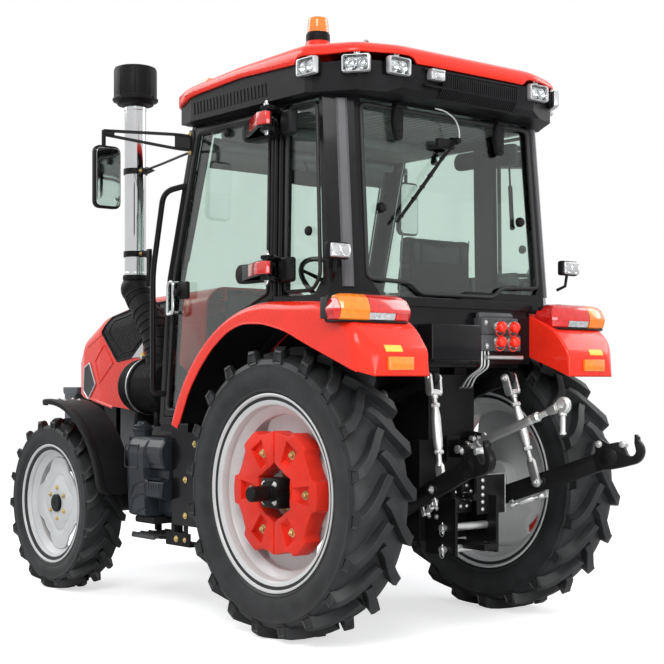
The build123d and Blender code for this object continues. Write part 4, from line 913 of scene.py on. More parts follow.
@onePiece("whitePlastic")
def washerTube(bm):
    y, z = wiper["pivot"]
    points = [onRear(0.1, 2.462, 0.02), onRear(0.05, 2.455, 0.034), onRear(-0.012, 2.422, 0.04),
              onRear(-0.03, 2.37, 0.044), onRear(y - 0.004, z, 0.046)]
    addTube(bm, smoothPath(points, 0.05, 6), 0.0035, 8)


@onePiece("blackSteel")
def gasStruts(bm):
    # inside the rear window and beside the doors
    for k in (1, -1):
        foot, top = Vector((-0.245, k * 0.505, 1.95)), Vector((-0.225, k * 0.5, 2.33))
        addTube(bm, [foot, foot + (top - foot) * 0.55], 0.011, 14)
        addTube(bm, [foot + (top - foot) * 0.5, top], 0.005, 10)
        addKnob(bm, foot, (-1, 0, 0), 0.014, 0.012)
        addKnob(bm, top, (-1, 0, 0), 0.014, 0.012)


@bothSides("postGrey")
def cornerPost(bm):
    # the flat metal post on each rear corner of the cab
    low, high = 1.6, 2.45
    rings = []
    for z in (low, high):
        x, y = rearX(z), sideY(z)
        rearEnd, sideEnd = Vector((x + 0.01, y - 0.112, z)), Vector((x + 0.078, y - 0.014, z))
        a, b = sideEnd.lerp(rearEnd, 0.8), sideEnd.lerp(rearEnd, 0.36)
        out = Vector((b.y - a.y, -(b.x - a.x), 0)).normalized()
        out = -out if out.x > 0 else out
        rings.append([a - out * 0.004, a + out * 0.01, a.lerp(b, 0.2) + out * 0.018,
                      a.lerp(b, 0.8) + out * 0.018, b + out * 0.01, b - out * 0.004])
    addSolid(bm, rings)


@onePiece("seatGrey")
def roofLining(bm):
    # ribbed lining under the roof, with a rolled sunblind and a console at the front
    for n in range(26):
        y = -0.6 + n * 0.048
        addBox(bm, (-0.22, y - 0.019, 2.452), (0.66, y + 0.019, 2.462), 0.004, 1)
    addBox(bm, (0.42, -0.6, 2.395), (0.72, 0.6, 2.452), 0.02)
    addTube(bm, [(0.745, -0.58, 2.37), (0.745, 0.58, 2.37)], 0.022, 16)


@onePiece("seatGrey")
def sunblind(bm):
    # a pleated blind over the top of the windscreen
    top, low, half, folds = 2.42, 2.27, 0.585, 44
    rows = []
    for z in (top, low):
        rows.append([Vector((frontX(z) - 0.045 + 0.004 * (k % 2), -half + 2 * half * k / folds, z))
                     for k in range(folds + 1)])
    addRings(bm, rows, closed=False, caps=False)


sunblind.modifiers.new("thickness", "SOLIDIFY").thickness = 0.0015


@onePiece("blackPlastic")
def cabMirror(bm):
    outline = []
    for a in turn(28):
        outline.append((0.16 * copysign(abs(cos(a)) ** 0.5, cos(a)),
                        2.26 + 0.04 * copysign(abs(sin(a)) ** 0.6, sin(a))))
    x = frontX(2.26) - 0.14
    addPrism(bm, outline, "x", x, x + 0.018, bevel=0.006)
    addTube(bm, [(x + 0.01, 0, 2.29), (x + 0.05, 0, 2.36), (x + 0.06, 0, 2.4)], 0.006, 10)


print("cab trim made")

# on the roof and under its edge; the shell itself comes at the end
lampSpots = [(-0.205, 0.762, 2.582, 90), (-0.383, 0.638, 2.583, 125), (-0.446, 0.458, 2.585, 180),
             (0.88, 0.62, 2.52, 0)]
lampBox = {"wide": 0.066, "high": 0.04}


def roundedRing(wide, high, corner, steps=4):
    # a rectangle with round corners, about its middle
    ring = []
    for cx, cy, start in ((1, 1, 0), (-1, 1, 90), (-1, -1, 180), (1, -1, 270)):
        for k in range(steps + 1):
            a = radians(start + 90 * k / steps)
            ring.append((cx * (wide - corner) + corner * cos(a), cy * (high - corner) + corner * sin(a)))
    return ring


def lampRing(spot, forth, share, corner):
    x, y, z, degrees = spot
    a = radians(degrees)
    out, across = Vector((cos(a), sin(a), 0)), Vector((-sin(a), cos(a), 0))
    return [Vector((x, y, z)) + out * forth + across * u + Vector((0, 0, v))
            for u, v in roundedRing(lampBox["wide"] * share, lampBox["high"] * share, corner)]


def lampRings(bm, spot, stages):
    # stages: (out from the lamp's middle, share of its size, corner)
    addSolid(bm, [lampRing(spot, forth, share, corner * share) for forth, share, corner in stages])


@bothSides("blackPlastic", covers=["lamps"], angle=30)
def workLampShells(bm):
    for spot in lampSpots:
        lampRings(bm, spot, ((-0.029, 0.62, 0.014), (-0.022, 0.8, 0.014), (0.004, 0.96, 0.013),
                             (0.005, 0.96, 0.013), (0.005, 0.9, 0.012), (-0.01, 0.88, 0.012)))
        x, y, z, degrees = spot
        a = radians(degrees)
        for k in range(5):
            shift = (k - 2) * 0.022
            at = Vector((x - cos(a) * 0.022 - sin(a) * shift, y - sin(a) * 0.022 + cos(a) * shift, z))
            addBox(bm, at - Vector((0.0025, 0.0025, 0.028)), at + Vector((0.0025, 0.0025, 0.028)))


@bothSides("silverTrim", angle=40)
def workLampBezels(bm):
    stages = ((0.004, 1.0), (0.02, 1.0), (0.029, 0.95), (0.03, 0.86), (0.02, 0.83), (0.004, 0.83))
    for spot in lampSpots:
        rings = [lampRing(spot, forth, share, 0.013 * share) for forth, share in stages]
        made = [[bm.verts.new(p) for p in ring] for ring in rings]
        faces = []
        for near, far in zip(made, made[1:] + made[:1]):
            n = len(near)
            faces += [bm.faces.new((near[i], near[(i + 1) % n], far[(i + 1) % n], far[i])) for i in range(n)]
        bmesh.ops.recalc_face_normals(bm, faces=faces)


@bothSides("reflectorBowl", angle=60)
def workLampBowls(bm):
    # two round bowls side by side, each with a bulb, and a dimpled plate between them
    for spot in lampSpots:
        x, y, z, degrees = spot
        a = radians(degrees)
        out, across = Vector((cos(a), sin(a), 0)), Vector((-sin(a), cos(a), 0))
        centre = Vector((x, y, z))
        for side in (-1, 1):
            middle = centre + across * side * 0.026
            rings = []
            for forth, r in ((-0.006, 0.004), (-0.004, 0.012), (0.002, 0.02), (0.012, 0.0275)):
                rings.append([middle + out * forth + across * r * cos(t) + Vector((0, 0, r * sin(t)))
                              for t in turn(24)])
            addRings(bm, rings, caps=False)
            addTube(bm, [middle - out * 0.004, middle + out * 0.006], 0.0045, 10)
        addRings(bm, [lampRing(spot, forth, 0.8, 0.01) for forth in (-0.004, -0.003)])


@bothSides("clearLens", slot="glass")
def workLampLenses(bm):
    for spot in lampSpots:
        lampRings(bm, spot, ((0.016, 0.835, 0.011), (0.02, 0.83, 0.011)))


@bothSides("zincPlate")
def workLampStays(bm):
    # a yoke over each lamp up to the roof
    for x, y, z, degrees in lampSpots[:3]:
        a = radians(degrees)
        across = Vector((-sin(a), cos(a), 0))
        top = Vector((x, y, z + 0.04))
        for side in (-1, 1):
            addTube(bm, [top + across * side * 0.011,
                         top + across * side * 0.011 + Vector((0, 0, 0.028))], 0.0035, 8)
        addTube(bm, [top - across * 0.016, top + across * 0.016], 0.005, 10)
        addBolt(bm, top + Vector((0, 0, 0.004)), (0, 0, 1), 0.007, 0.007)


# louvre across the middle of the roof's back edge, from the lamp at its left end to the right
louvre = {"x": -0.47, "from": 0.3, "to": -0.3, "low": 2.478, "high": 2.59}


@onePiece("blackPlastic")
def roofLouvre(bm):
    count = 44
    for n in range(count):
        y = louvre["from"] + (louvre["to"] - louvre["from"]) * (n + 0.5) / count
        if y > 0.2:
            continue
        profile = [(louvre["x"] - 0.002, louvre["high"]), (louvre["x"] - 0.012, louvre["high"] - 0.012),
                   (louvre["x"] - 0.01, 2.52), (louvre["x"] + 0.02, louvre["low"]),
                   (louvre["x"] + 0.03, louvre["low"]), (louvre["x"] + 0.012, 2.53),
                   (louvre["x"] + 0.012, louvre["high"])]
        addPrism(bm, profile, "y", y - 0.0035, y + 0.0035)
    for z in (louvre["high"] + 0.002, 2.52):
        addBox(bm, (louvre["x"] - 0.008, louvre["to"] - 0.01, z - 0.005),
               (louvre["x"] + 0.014, louvre["from"] + 0.01, z + 0.005), 0.002, 1)


@onePiece("silverTrim")
def plateLamp(bm):
    # the blank plate lamp at the louvre's left end: a cover and a lens box
    addBox(bm, (-0.5, 0.205, 2.545), (-0.462, 0.29, 2.588), 0.006)
    addBox(bm, (-0.508, 0.212, 2.582), (-0.47, 0.292, 2.592), 0.003)


@onePiece("reflectorBowl")
def plateLampLens(bm):
    addBox(bm, (-0.504, 0.226, 2.552), (-0.488, 0.27, 2.58), 0.004)


@onePiece("zincPlate")
def eyebolts(bm):
    for k in (1, -1):
        x, y, z = -0.25, k * 0.466, 2.69
        addLathe(bm, [(0, 0), (0, 0.02), (0.006, 0.02), (0.008, 0.012), (0.02, 0.01), (0.02, 0)],
                 (x, y, z - 0.01), 24, "z")
        ring = [(x, y + 0.019 * cos(a), z + 0.028 + 0.019 * sin(a))
                for a in turn(24)]
        addTube(bm, ring + ring[:2], 0.0055, 10)


beacon = {"x": 0.06, "y": 0.5, "low": 2.67, "base": 2.782, "dome": 2.824, "top": 2.9}


@onePiece("redPaint", covers=["lamps"])
def beaconFoot(bm):
    # the painted plinth that the roof rises to
    tall = beacon["base"] - beacon["low"]
    addLathe(bm, [(0, 0), (0, 0.074), (tall * 0.5, 0.064), (tall - 0.006, 0.06), (tall, 0.056), (tall, 0)],
             (beacon["x"], beacon["y"], beacon["low"]), 48, "z")


@onePiece("blackPlastic")
def beaconBase(bm):
    addLathe(bm, [(-0.004, 0), (-0.004, 0.055), (0.006, 0.057), (0.034, 0.057), (0.038, 0.052),
                  (0.043, 0.052), (0.043, 0)], (beacon["x"], beacon["y"], beacon["base"]), 48, "z")


@onePiece("orangeLens")
def beaconDome(bm):
    # eight flutes, a waist and a flat cap
    low, top = beacon["dome"], beacon["top"]
    tall = top - low
    rings = []
    for share, r in ((0, 0.0505), (0.06, 0.0515), (0.5, 0.0505), (0.8, 0.048), (0.92, 0.043),
                     (0.985, 0.03), (1, 0.014)):
        ring = []
        for a in turn(96):
            flute = 1 - 0.022 * abs(sin(4 * a)) * (share < 0.9)
            ring.append((beacon["x"] + r * flute * cos(a), beacon["y"] + r * flute * sin(a),
                         low + tall * share))
        rings.append(ring)
    addRings(bm, rings)


# side vents under the roof's edge, and the amber markers on its front corners
@bothSides("blackPlastic")
def roofVents(bm):
    for n in range(22):
        x = 0.1 + n * 0.028
        addPrism(bm, [(x, 2.5), (x + 0.01, 2.5), (x + 0.016, 2.56), (x + 0.006, 2.56)], "y", 0.752, 0.778)
    addBox(bm, (0.085, 0.748, 2.49), (0.72, 0.764, 2.57), 0.004)


@bothSides("orangeLens")
def roofMarkers(bm):
    addBox(bm, (0.61, 0.69, 2.64), (0.69, 0.745, 2.676), 0.012, 3)


# tail lamps in the back of each fender
tail = {"low": 1.43, "high": 1.555, "front": -0.43, "back": -0.572, "inner": 0.465, "outer": 0.885,
        "split": 0.72, "clear": 0.566, "amber": 0.862}


def tailPlan(inset):
    # the lamp seen from above, drawn in by inset
    plan = [(tail["front"], tail["inner"]), (tail["front"], 0.868), (-0.465, tail["outer"]),
            (-0.52, tail["outer"]), (-0.558, 0.85), (tail["back"], 0.77), (tail["back"], 0.5),
            (-0.548, tail["inner"])]
    return [(x + (-0.49 - x) * inset / 0.08, y + (0.675 - y) * inset / 0.21) for x, y in plan]


def addLayers(bm, y0, y1, layers):
    # a slice of the lamp between two distances from the middle; layers: height, inset
    part = bmesh.new()
    addRings(part, [[(x, y, z) for x, y in tailPlan(inset)] for z, inset in layers])
    for y, side in ((y0, -1), (y1, 1)):
        cut = bmesh.ops.bisect_plane(part, geom=part.verts[:] + part.edges[:] + part.faces[:], dist=0.00001,
                                     plane_co=(0, y, 0), plane_no=(0, side, 0), clear_outer=True)["geom_cut"]
        bmesh.ops.edgenet_fill(part, edges=[e for e in cut if isinstance(e, bmesh.types.BMEdge)])
    bmesh.ops.recalc_face_normals(part, faces=part.faces[:])
    holder = bpy.data.meshes.new("slice")
    part.to_mesh(holder)
    bm.from_mesh(holder)
    bpy.data.meshes.remove(holder)


tailUpper = ((1.487, 0.0), (1.492, 0.001), (1.526, 0.014), (1.532, 0.017), (1.547, 0.032), (1.555, 0.052))
tailLower = ((1.438, 0.016), (1.446, 0.007), (1.482, 0.0))


@bothSides("blackPlastic", covers=["lamps"])
def tailLampCases(bm):
    addBox(bm, (tail["front"] - 0.05, 0.478, tail["low"]),
           (tail["front"], 0.874, tail["high"] - 0.008), 0.02, 4)
    addLayers(bm, tail["inner"], tail["outer"], ((1.43, 0.014), (1.434, 0.008), (1.44, 0.01)))


@bothSides("orangeLens")
def tailLampAmber(bm):
    addLayers(bm, tail["split"] + 0.002, tail["amber"], tailLower + tailUpper)


@bothSides("redLens")
def tailLampRed(bm):
    addLayers(bm, tail["inner"], tail["split"] - 0.002, ((1.474, 0.001),) + tailUpper)
    addLayers(bm, tail["inner"], tail["clear"], ((1.438, 0.016), (1.446, 0.007), (1.475, 0.001)))
    addLayers(bm, tail["amber"] + 0.002, tail["outer"], tailLower + tailUpper[:4])


@bothSides("reflectorBowl")
def tailLampClear(bm):
    addLayers(bm, tail["clear"] + 0.002, tail["split"] - 0.002,
              ((1.436, 0.024), (1.444, 0.014), (1.474, 0.006)))


@bothSides("rubberSeal")
def tailLampGaskets(bm):
    addBox(bm, (-0.47, 0.872, 1.446), (-0.425, 0.8845, 1.54), 0.006)


# work lamp beside each rear corner post, above the fender
@bothSides("blackPlastic")
def fenderLampShell(bm):
    addBox(bm, (-0.412, 0.7, 1.712), (-0.372, 0.822, 1.786), 0.012, 3)
    addTube(bm, [(-0.385, 0.76, 1.712), (-0.375, 0.76, 1.66), (-0.34, 0.735, 1.64)], 0.008, 10)


@bothSides("silverTrim")
def fenderLampFace(bm):
    addBox(bm, (-0.424, 0.706, 1.718), (-0.408, 0.816, 1.78), 0.008, 3)


@bothSides("reflectorBowl")
def fenderLampBowl(bm):
    for y in (0.735, 0.787):
        addLathe(bm, [(0.01, 0.0), (0.008, 0.01), (-0.001, 0.024), (-0.002, 0.026), (0.012, 0.026),
                      (0.012, 0)], (-0.4245, y, 1.749), 24, "x")


# reflector on the back of each fender
@bothSides("orangeLens")
def fenderReflectors(bm):
    addBox(bm, (-0.676, 0.562, 1.226), (-0.656, 0.706, 1.284), 0.005)


print("roof trim and lamps made")

# bonnet: half width, foot, top and shoulder radius at places along it, as the CAD shell has them
bonnetHigh = cadBoxOf("bonnet")[1]
bonnetStations = [(1.19, 0.368, 1.0, 1.695, 0.13), (1.85, 0.362, 1.0, 1.672, 0.13),
                  (2.36, 0.345, 1.04, 1.578, 0.12), (2.59, 0.322, 1.075, 1.47, 0.11),
                  (2.675, 0.296, 1.1, 1.372, 0.09)]


def bonnetAt(x):
    for a, b in zip(bonnetStations, bonnetStations[1:]):
        if x <= b[0]:
            t = (x - a[0]) / (b[0] - a[0])
            return [p + (q - p) * t for p, q in zip(a, b)]
    return list(bonnetStations[-1])


def onBonnet(x, z, out=0.0):
    # a point on the left flank or shoulder
    _, half, _, top, radius = bonnetAt(x)
    z = min(z, top - 0.002)
    if z <= top - radius:
        return Vector((x, half + out, z))
    a = asin((z - (top - radius)) / radius)
    return Vector((x, half - radius + (radius + out) * cos(a), top - radius + (radius + out) * sin(a)))


def densify(outline, step=0.03):
    points = []
    for (xa, za), (xb, zb) in zip(outline, outline[1:] + outline[:1]):
        count = max(1, round(hypot(xb - xa, zb - za) / step))
        points += [(xa + (xb - xa) * k / count, za + (zb - za) * k / count) for k in range(count)]
    return points


def addFlankPanel(bm, outline, out, deep, grid=0.02):
    # a thin panel that follows the bonnet's side
    rings = []
    points = densify(outline, grid)
    cx = sum(p[0] for p in points) / len(points)
    cz = sum(p[1] for p in points) / len(points)
    for lift, shrink in ((out - deep, 1.0), (out - 0.0015, 1.0), (out, 0.985)):
        rings.append([onBonnet(cx + (x - cx) * shrink, cz + (z - cz) * shrink, lift) for x, z in points])
    for share in (0.8, 0.6, 0.4, 0.2, 0.03):
        rings.append([onBonnet(cx + (x - cx) * share, cz + (z - cz) * share, out) for x, z in points])
    addSolid(bm, rings)


meshOutline = [(1.56, 1.635), (1.99, 1.608), (2.262, 1.562), (2.328, 1.473), (2.138, 1.297), (1.962, 1.318),
               (1.83, 1.412), (1.6, 1.44), (1.54, 1.52)]


@bothSides("blackPlastic", "bonnet")
def bonnetMeshRim(bm):
    # a raised rim round the mesh, and a second line inside it
    addTube(bm, ringPath([onBonnet(x, z, 0.001) for x, z in densify(meshOutline, 0.06)], 0.01), 0.007, 8)
    cx, cz = 1.93, 1.475
    inner = [(cx + (x - cx) * 0.8, cz + (z - cz) * 0.74) for x, z in meshOutline]
    addTube(bm, ringPath([onBonnet(x, z, 0.0005) for x, z in densify(inner, 0.06)], 0.01), 0.004, 8)


def insideOutline(x, z, outline):
    inside = False
    for (xa, za), (xb, zb) in zip(outline, outline[1:] + outline[:1]):
        if (za > z) != (zb > z) and x < xa + (xb - xa) * (z - za) / (zb - za):
            inside = not inside
    return inside


def addWire(bm, run):
    if len(run) > 1:
        addTube(bm, run[::4] + [run[-1]], 0.0018, 4)


@bothSides("meshBlack", "bonnet")
def bonnetMeshWires(bm):
    # the woven wires of the side mesh, both ways across it
    cells = 0.022
    for way in (1, -1):
        for n in range(-50, 50):
            run = []
            for m in range(80):
                t = -0.6 + m * 0.015
                x = 1.93 + t + way * n * cells * 0.5
                z = 1.475 + way * t * 0.9 - n * cells * 0.5
                if insideOutline(x, z, meshOutline):
                    run.append(onBonnet(x, z, -0.001))
                else:
                    addWire(bm, run)
                    run = []
            addWire(bm, run)


@bothSides("silverTrim", "bonnet")
def bonnetTrim(bm):
    # the bright triangle under the mesh's rear corner
    addFlankPanel(bm, [(1.828, 1.405), (1.958, 1.314), (1.826, 1.322)], 0.0065, 0.008)


headlampOutline = [(2.5, 1.29), (2.575, 1.262), (2.59, 1.12), (2.52, 1.068), (2.415, 1.16)]


@bothSides("meshBlack", "bonnet")
def headlampMesh(bm):
    # the lamp wraps from the nose back along the side
    addFlankPanel(bm, headlampOutline, 0.005, 0.006)


@bothSides("silverTrim", "bonnet")
def headlampRim(bm):
    addTube(bm, ringPath([onBonnet(x, z, 0.004) for x, z in densify(headlampOutline, 0.05)], 0.01), 0.0055, 8)


def addCrease(bm, points, width=0.006, out=0.0035):
    # a soft raised line along the flank
    rings = []
    for x, z in points:
        rings.append([onBonnet(x, z - width, -0.001), onBonnet(x, z - width * 0.3, out),
                      onBonnet(x, z + width * 0.3, out), onBonnet(x, z + width, -0.001)])
    addSolid(bm, rings)


@bothSides("redPaint", "bonnet")
def bonnetLines(bm):
    # a raised edge round the hollow panel, with the crease lines that run to the nose
    rim = [(2.305, 1.398), (2.193, 1.287), (2.363, 1.169), (2.424, 1.3)]
    addCrease(bm, densify(rim, 0.03)[:8], 0.01, 0.005)
    addTube(bm, [onBonnet(x, z, -0.002) for x, z in densify(rim, 0.02)]
            + [onBonnet(*rim[0], -0.002)], 0.007, 8)
    addCrease(bm, [(2.33 + 0.028 * k, 1.462 - 0.01 * k) for k in range(8)], 0.008, 0.004)
    addCrease(bm, [(2.2 + 0.045 * k, 1.02 + 0.008 * k) for k in range(9)], 0.01, 0.004)


@onePiece("blackPlastic", "bonnet")
def noseGrille(bm):
    # a V shaped bar across the grille, and its louvres
    x = bonnetHigh.x
    for n in range(9):
        z = 1.118 + n * 0.0195
        addBox(bm, (x - 0.016, -0.232, z), (x + 0.004, 0.232, z + 0.007), 0.002, 1)
    for k in (1, -1):
        addTube(bm, smoothPath([(x + 0.001, 0, 1.14), (x + 0.001, k * 0.12, 1.19),
                                (x + 0.001, k * 0.235, 1.28)], 0.03), 0.009, 10)


@onePiece("reflectorBowl", "bonnet")
def noseLamps(bm):
    x = bonnetHigh.x
    for k in (1, -1):
        addLathe(bm, [(-0.03, 0), (-0.026, 0.02), (-0.01, 0.04), (0.0, 0.052), (0.004, 0.052), (0.004, 0.06),
                      (-0.02, 0.06), (-0.02, 0)], (x, k * 0.165, 1.195), 36, "x")


# air cleaner: a ribbed canister on its side
canister = {"from": 1.27, "to": 1.6, "y": 0.54, "z": 1.15, "radius": 0.155}


@onePiece("blackPlastic", covers=["air_cleaner"], angle=30)
def airCanister(bm):
    c, r = canister, canister["radius"]
    length = c["to"] - c["from"]
    profile = [(0, 0), (0, r * 0.8), (0.01, r * 0.88), (0.018, r * 0.9)]
    for n in range(9):
        t = 0.03 + n * 0.0165
        profile += [(t, r * 0.9), (t + 0.002, r * 0.935), (t + 0.008, r * 0.935), (t + 0.01, r * 0.9)]
    t = 0.19
    profile += [(t, r * 0.9), (t + 0.002, r * 0.985), (t + 0.016, r), (t + 0.03, r * 0.985),
                (t + 0.032, r * 0.93)]
    for n in range(4):
        s = t + 0.042 + n * 0.018
        profile += [(s, r * 0.93), (s + 0.002, r * 0.96), (s + 0.009, r * 0.96), (s + 0.011, r * 0.93)]
    profile += [(length - 0.016, r * 0.92), (length - 0.004, r * 0.84), (length, r * 0.74), (length, 0)]
    addLathe(bm, profile, (c["from"], c["y"], c["z"]), 72, "x")
    # long ribs along its length
    for a in turn(18):
        out = Vector((0, cos(a), sin(a)))
        start = Vector((c["from"] + 0.014, c["y"], c["z"])) + out * r * 0.9
        addTube(bm, [start, start + Vector((0.16, 0, 0))], 0.0035, 6)
    # foot brackets
    for x in (1.33, 1.53):
        addBox(bm, (x - 0.018, c["y"] - 0.1, c["z"] - r - 0.06),
               (x + 0.018, c["y"] + 0.06, c["z"] - r + 0.02), 0.004)


@onePiece("zincPlate")
def airCanisterClamp(bm):
    c, r = canister, canister["radius"]
    addLathe(bm, [(0.203, r), (0.203, r * 1.012), (0.213, r * 1.012), (0.213, r)],
             (c["from"], c["y"], c["z"]), 72, "x", loop=True)
    addBox(bm, (c["from"] + 0.196, c["y"] + 0.02, c["z"] + r - 0.004),
           (c["from"] + 0.22, c["y"] + 0.062, c["z"] + r + 0.012), 0.003)
    addBolt(bm, (c["from"] + 0.208, c["y"] + 0.062, c["z"] + r + 0.004), (0, 1, 0), 0.006, 0.01)


@onePiece("blackPlastic")
def airCanisterCap(bm):
    # the blank disc on the front end
    c = canister
    addLathe(bm, [(-0.001, 0), (-0.001, c["radius"] * 0.72), (0.004, c["radius"] * 0.72), (0.004, 0)],
             (c["to"], c["y"], c["z"]), 56, "x")


@onePiece("blackPlastic", covers=["air_cleaner"], angle=40)
def airIntakeHose(bm):
    # the ribbed hose from the canister up to the stack
    path = smoothPath([(1.37, 0.545, 1.2), (1.375, 0.548, 1.36), (1.455, 0.55, 1.52), (1.575, 0.55, 1.64),
                       (1.612, 0.55, 1.7)], 0.1, 10)
    addTube(bm, path, 0.074, 40)
    for n in range(3, len(path) - 3, 3):
        along = (path[n + 1] - path[n - 1]).normalized()
        addTube(bm, [path[n] - along * 0.007, path[n] - along * 0.004, path[n] + along * 0.004,
                     path[n] + along * 0.007], 0.08, 40, taper=[0.07, 0.079, 0.079, 0.07])
    ball = [(0.082 * cos(pi * k / 12), 0.082 * sin(pi * k / 12)) for k in range(13)]
    addLathe(bm, [(t, max(r, 0.0)) for t, r in ball[::-1]], (1.615, 0.55, 1.69), 40, "z")
    addLathe(bm, [(0.05, 0.06), (0.05, 0.069), (0.062, 0.071), (0.078, 0.068), (0.078, 0.06)],
             (1.615, 0.55, 1.69), 40, "z", loop=True)


@onePiece("yellowPatch", slot="brass_bolt")
def airValve(bm):
    addLathe(bm, [(0, 0), (0, 0.016), (0.02, 0.016), (0.024, 0.01), (0.034, 0.01), (0.034, 0)],
             (1.52, 0.56, 1.3), 24, "z")


stack = {"x": 1.615, "y": 0.55, "low": 1.76, "top": 2.718, "radius": 0.06, "clamps": (2.343, 1.884),
         "bowl": 2.718, "bowlTop": 2.926}


@onePiece("chromePlate", covers=["intake_stack"], angle=35)
def stackPipe(bm):
    s, r = stack, stack["radius"]
    addLathe(bm, [(s["low"], 0), (s["low"], r * 1.05), (s["low"] + 0.02, r * 1.05), (s["low"] + 0.024, r),
                  (s["top"] - 0.036, r), (s["top"] - 0.034, r * 1.04), (s["top"] - 0.018, r * 1.04),
                  (s["top"] - 0.016, r), (s["top"], r), (s["top"], 0)], (s["x"], s["y"], 0), 72, "z")


@onePiece("blackSteel")
def stackClamps(bm):
    s = stack
    for z in s["clamps"]:
        addLathe(bm, [(z - 0.016, s["radius"]), (z - 0.016, s["radius"] + 0.006),
                      (z + 0.016, s["radius"] + 0.006), (z + 0.016, s["radius"])], (s["x"], s["y"], 0),
                 56, "z", loop=True)
        for k in (1, -1):
            addBox(bm, (s["x"] + k * 0.072 - 0.012, s["y"] - 0.01, z - 0.018),
                   (s["x"] + k * 0.072 + 0.012, s["y"] + 0.01, z + 0.018), 0.003)
        addBox(bm, (s["x"] - 0.13, s["y"] - 0.008, z - 0.014),
               (s["x"] - 0.062, s["y"] + 0.008, z + 0.014), 0.003)
    # stays from the stack to the cab's front post
    addTube(bm, smoothPath([(1.5, 0.55, 2.343), (1.3, 0.575, 2.35), (1.0, 0.64, 2.352),
                            (frontX(2.35) - 0.01, 0.672, 2.352)], 0.05), 0.007, 10)
    addPrism(bm, [(1.502, 2.352), (1.47, 2.352), (1.42, 2.33), (1.502, 2.318)], "y", 0.54, 0.558, bevel=0.003)
    addBox(bm, (1.455, 0.54, 1.7), (1.487, 0.56, 1.905), 0.004)


@onePiece("brassPlate")
def stackClampBolts(bm):
    for z in stack["clamps"]:
        for k in (1, -1):
            addBolt(bm, (stack["x"] + k * 0.072, stack["y"] + 0.01, z), (0, 1, 0), 0.008, 0.008)


@onePiece("blackPlastic", covers=["intake_stack"], angle=32)
def precleaner(bm):
    # a bowl on a flange, with a moulded window and flat panels
    s = stack
    low, top = s["bowl"], s["bowlTop"]
    addLathe(bm, [(low - 0.014, 0.0), (low - 0.014, 0.064), (low - 0.004, 0.098), (low + 0.014, 0.106),
                  (low + 0.016, 0.122), (low + 0.022, 0.1265), (low + 0.03, 0.1265), (low + 0.034, 0.122),
                  (low + 0.036, 0.116), (low + 0.04, 0.1145), (low + 0.05, 0.1155), (top - 0.018, 0.1185),
                  (top - 0.006, 0.113), (top, 0.098), (top, 0)], (s["x"], s["y"], 0), 96, "z")
    for degrees in range(0, 360, 45):
        a = radians(degrees + 12)
        out = Vector((cos(a), sin(a), 0))
        at = Vector((s["x"], s["y"], 0)) + out * 0.1165
        addBox(bm, at + Vector((-0.0022, -0.0022, low + 0.04)),
               at + Vector((0.0022, 0.0022, top - 0.02)), 0.001, 1)
    for degrees in (20, 110, 200, 290):
        a = radians(degrees)
        at = Vector((s["x"], s["y"], low + 0.026)) + Vector((cos(a), sin(a), 0)) * 0.123
        addLathe(bm, [(-0.01, 0), (-0.01, 0.007), (0.01, 0.007), (0.01, 0)], at, 12, "z")


# mirrors: a slotted arm, and a rounded head with its glass to the rear
mirror = {"x0": 1.085, "x1": 1.145, "y0": 0.96, "y1": 1.112, "z0": 2.052, "z1": 2.37}


@bothSides("blackSteel", covers=["mirrors_and_rails"])
def mirrorArm(bm):
    root, tip = Vector((0.836, 0.69, 2.385)), Vector((1.12, 1.04, 2.44))
    along = (tip - root).normalized()
    up = Vector((0, 0, 1))
    thick = Vector((along.y, -along.x, 0)).normalized() * 0.008
    upper, lower = [], []
    for t, high in ((0.0, 0.034), (0.12, 0.036), (0.24, 0.034), (0.5, 0.026), (0.75, 0.018), (1.0, 0.01)):
        middle = root.lerp(tip, t)
        upper.append(middle + up * high)
        lower.append(middle - up * high)
    for line in (upper, lower):
        rings = []
        for p in line:
            rings.append([p - up * 0.007 - thick, p + up * 0.007 - thick, p + up * 0.007 + thick,
                          p - up * 0.007 + thick])
        addSolid(bm, rings)
    for t0, t1, high in ((0.0, 0.2, 0.036), (0.88, 1.0, 0.014)):
        a, b = root.lerp(tip, t0), root.lerp(tip, t1)
        rings = [[p - up * high - thick, p + up * high - thick, p + up * high + thick, p - up * high + thick]
                 for p in (a, b)]
        addSolid(bm, rings)
    addTube(bm, [(1.12, 1.04, 2.452), (1.12, 1.04, 2.36)], 0.011, 16)
    # clamp plate on the cab's front post, and its arm mount
    addBox(bm, (0.8, 0.668, 2.32), (0.852, 0.704, 2.452), 0.006)


@bothSides("brassPlate")
def mirrorBolts(bm):
    for z in (2.338, 2.432):
        addBolt(bm, (0.84, 0.703, z), (0, 1, 0), 0.008, 0.008)


@bothSides("blackPlastic", covers=["mirrors_and_rails"], angle=50)
def mirrorHead(bm):
    m = mirror
    cy, cz = (m["y0"] + m["y1"]) / 2, (m["z0"] + m["z1"]) / 2
    rings = []
    for x, share in ((m["x0"] - 0.002, 0.94), (m["x0"] + 0.004, 1.0), (m["x0"] + 0.028, 0.985),
                     (m["x1"] - 0.016, 0.86), (m["x1"] - 0.002, 0.6), (m["x1"], 0.3)):
        rings.append([(x, cy + u, cz + v) for u, v in roundedRing((m["y1"] - m["y0"]) / 2 * share,
                (m["z1"] - m["z0"]) / 2 * (0.5 + share / 2), 0.034 * share, 6)])
    addSolid(bm, rings)


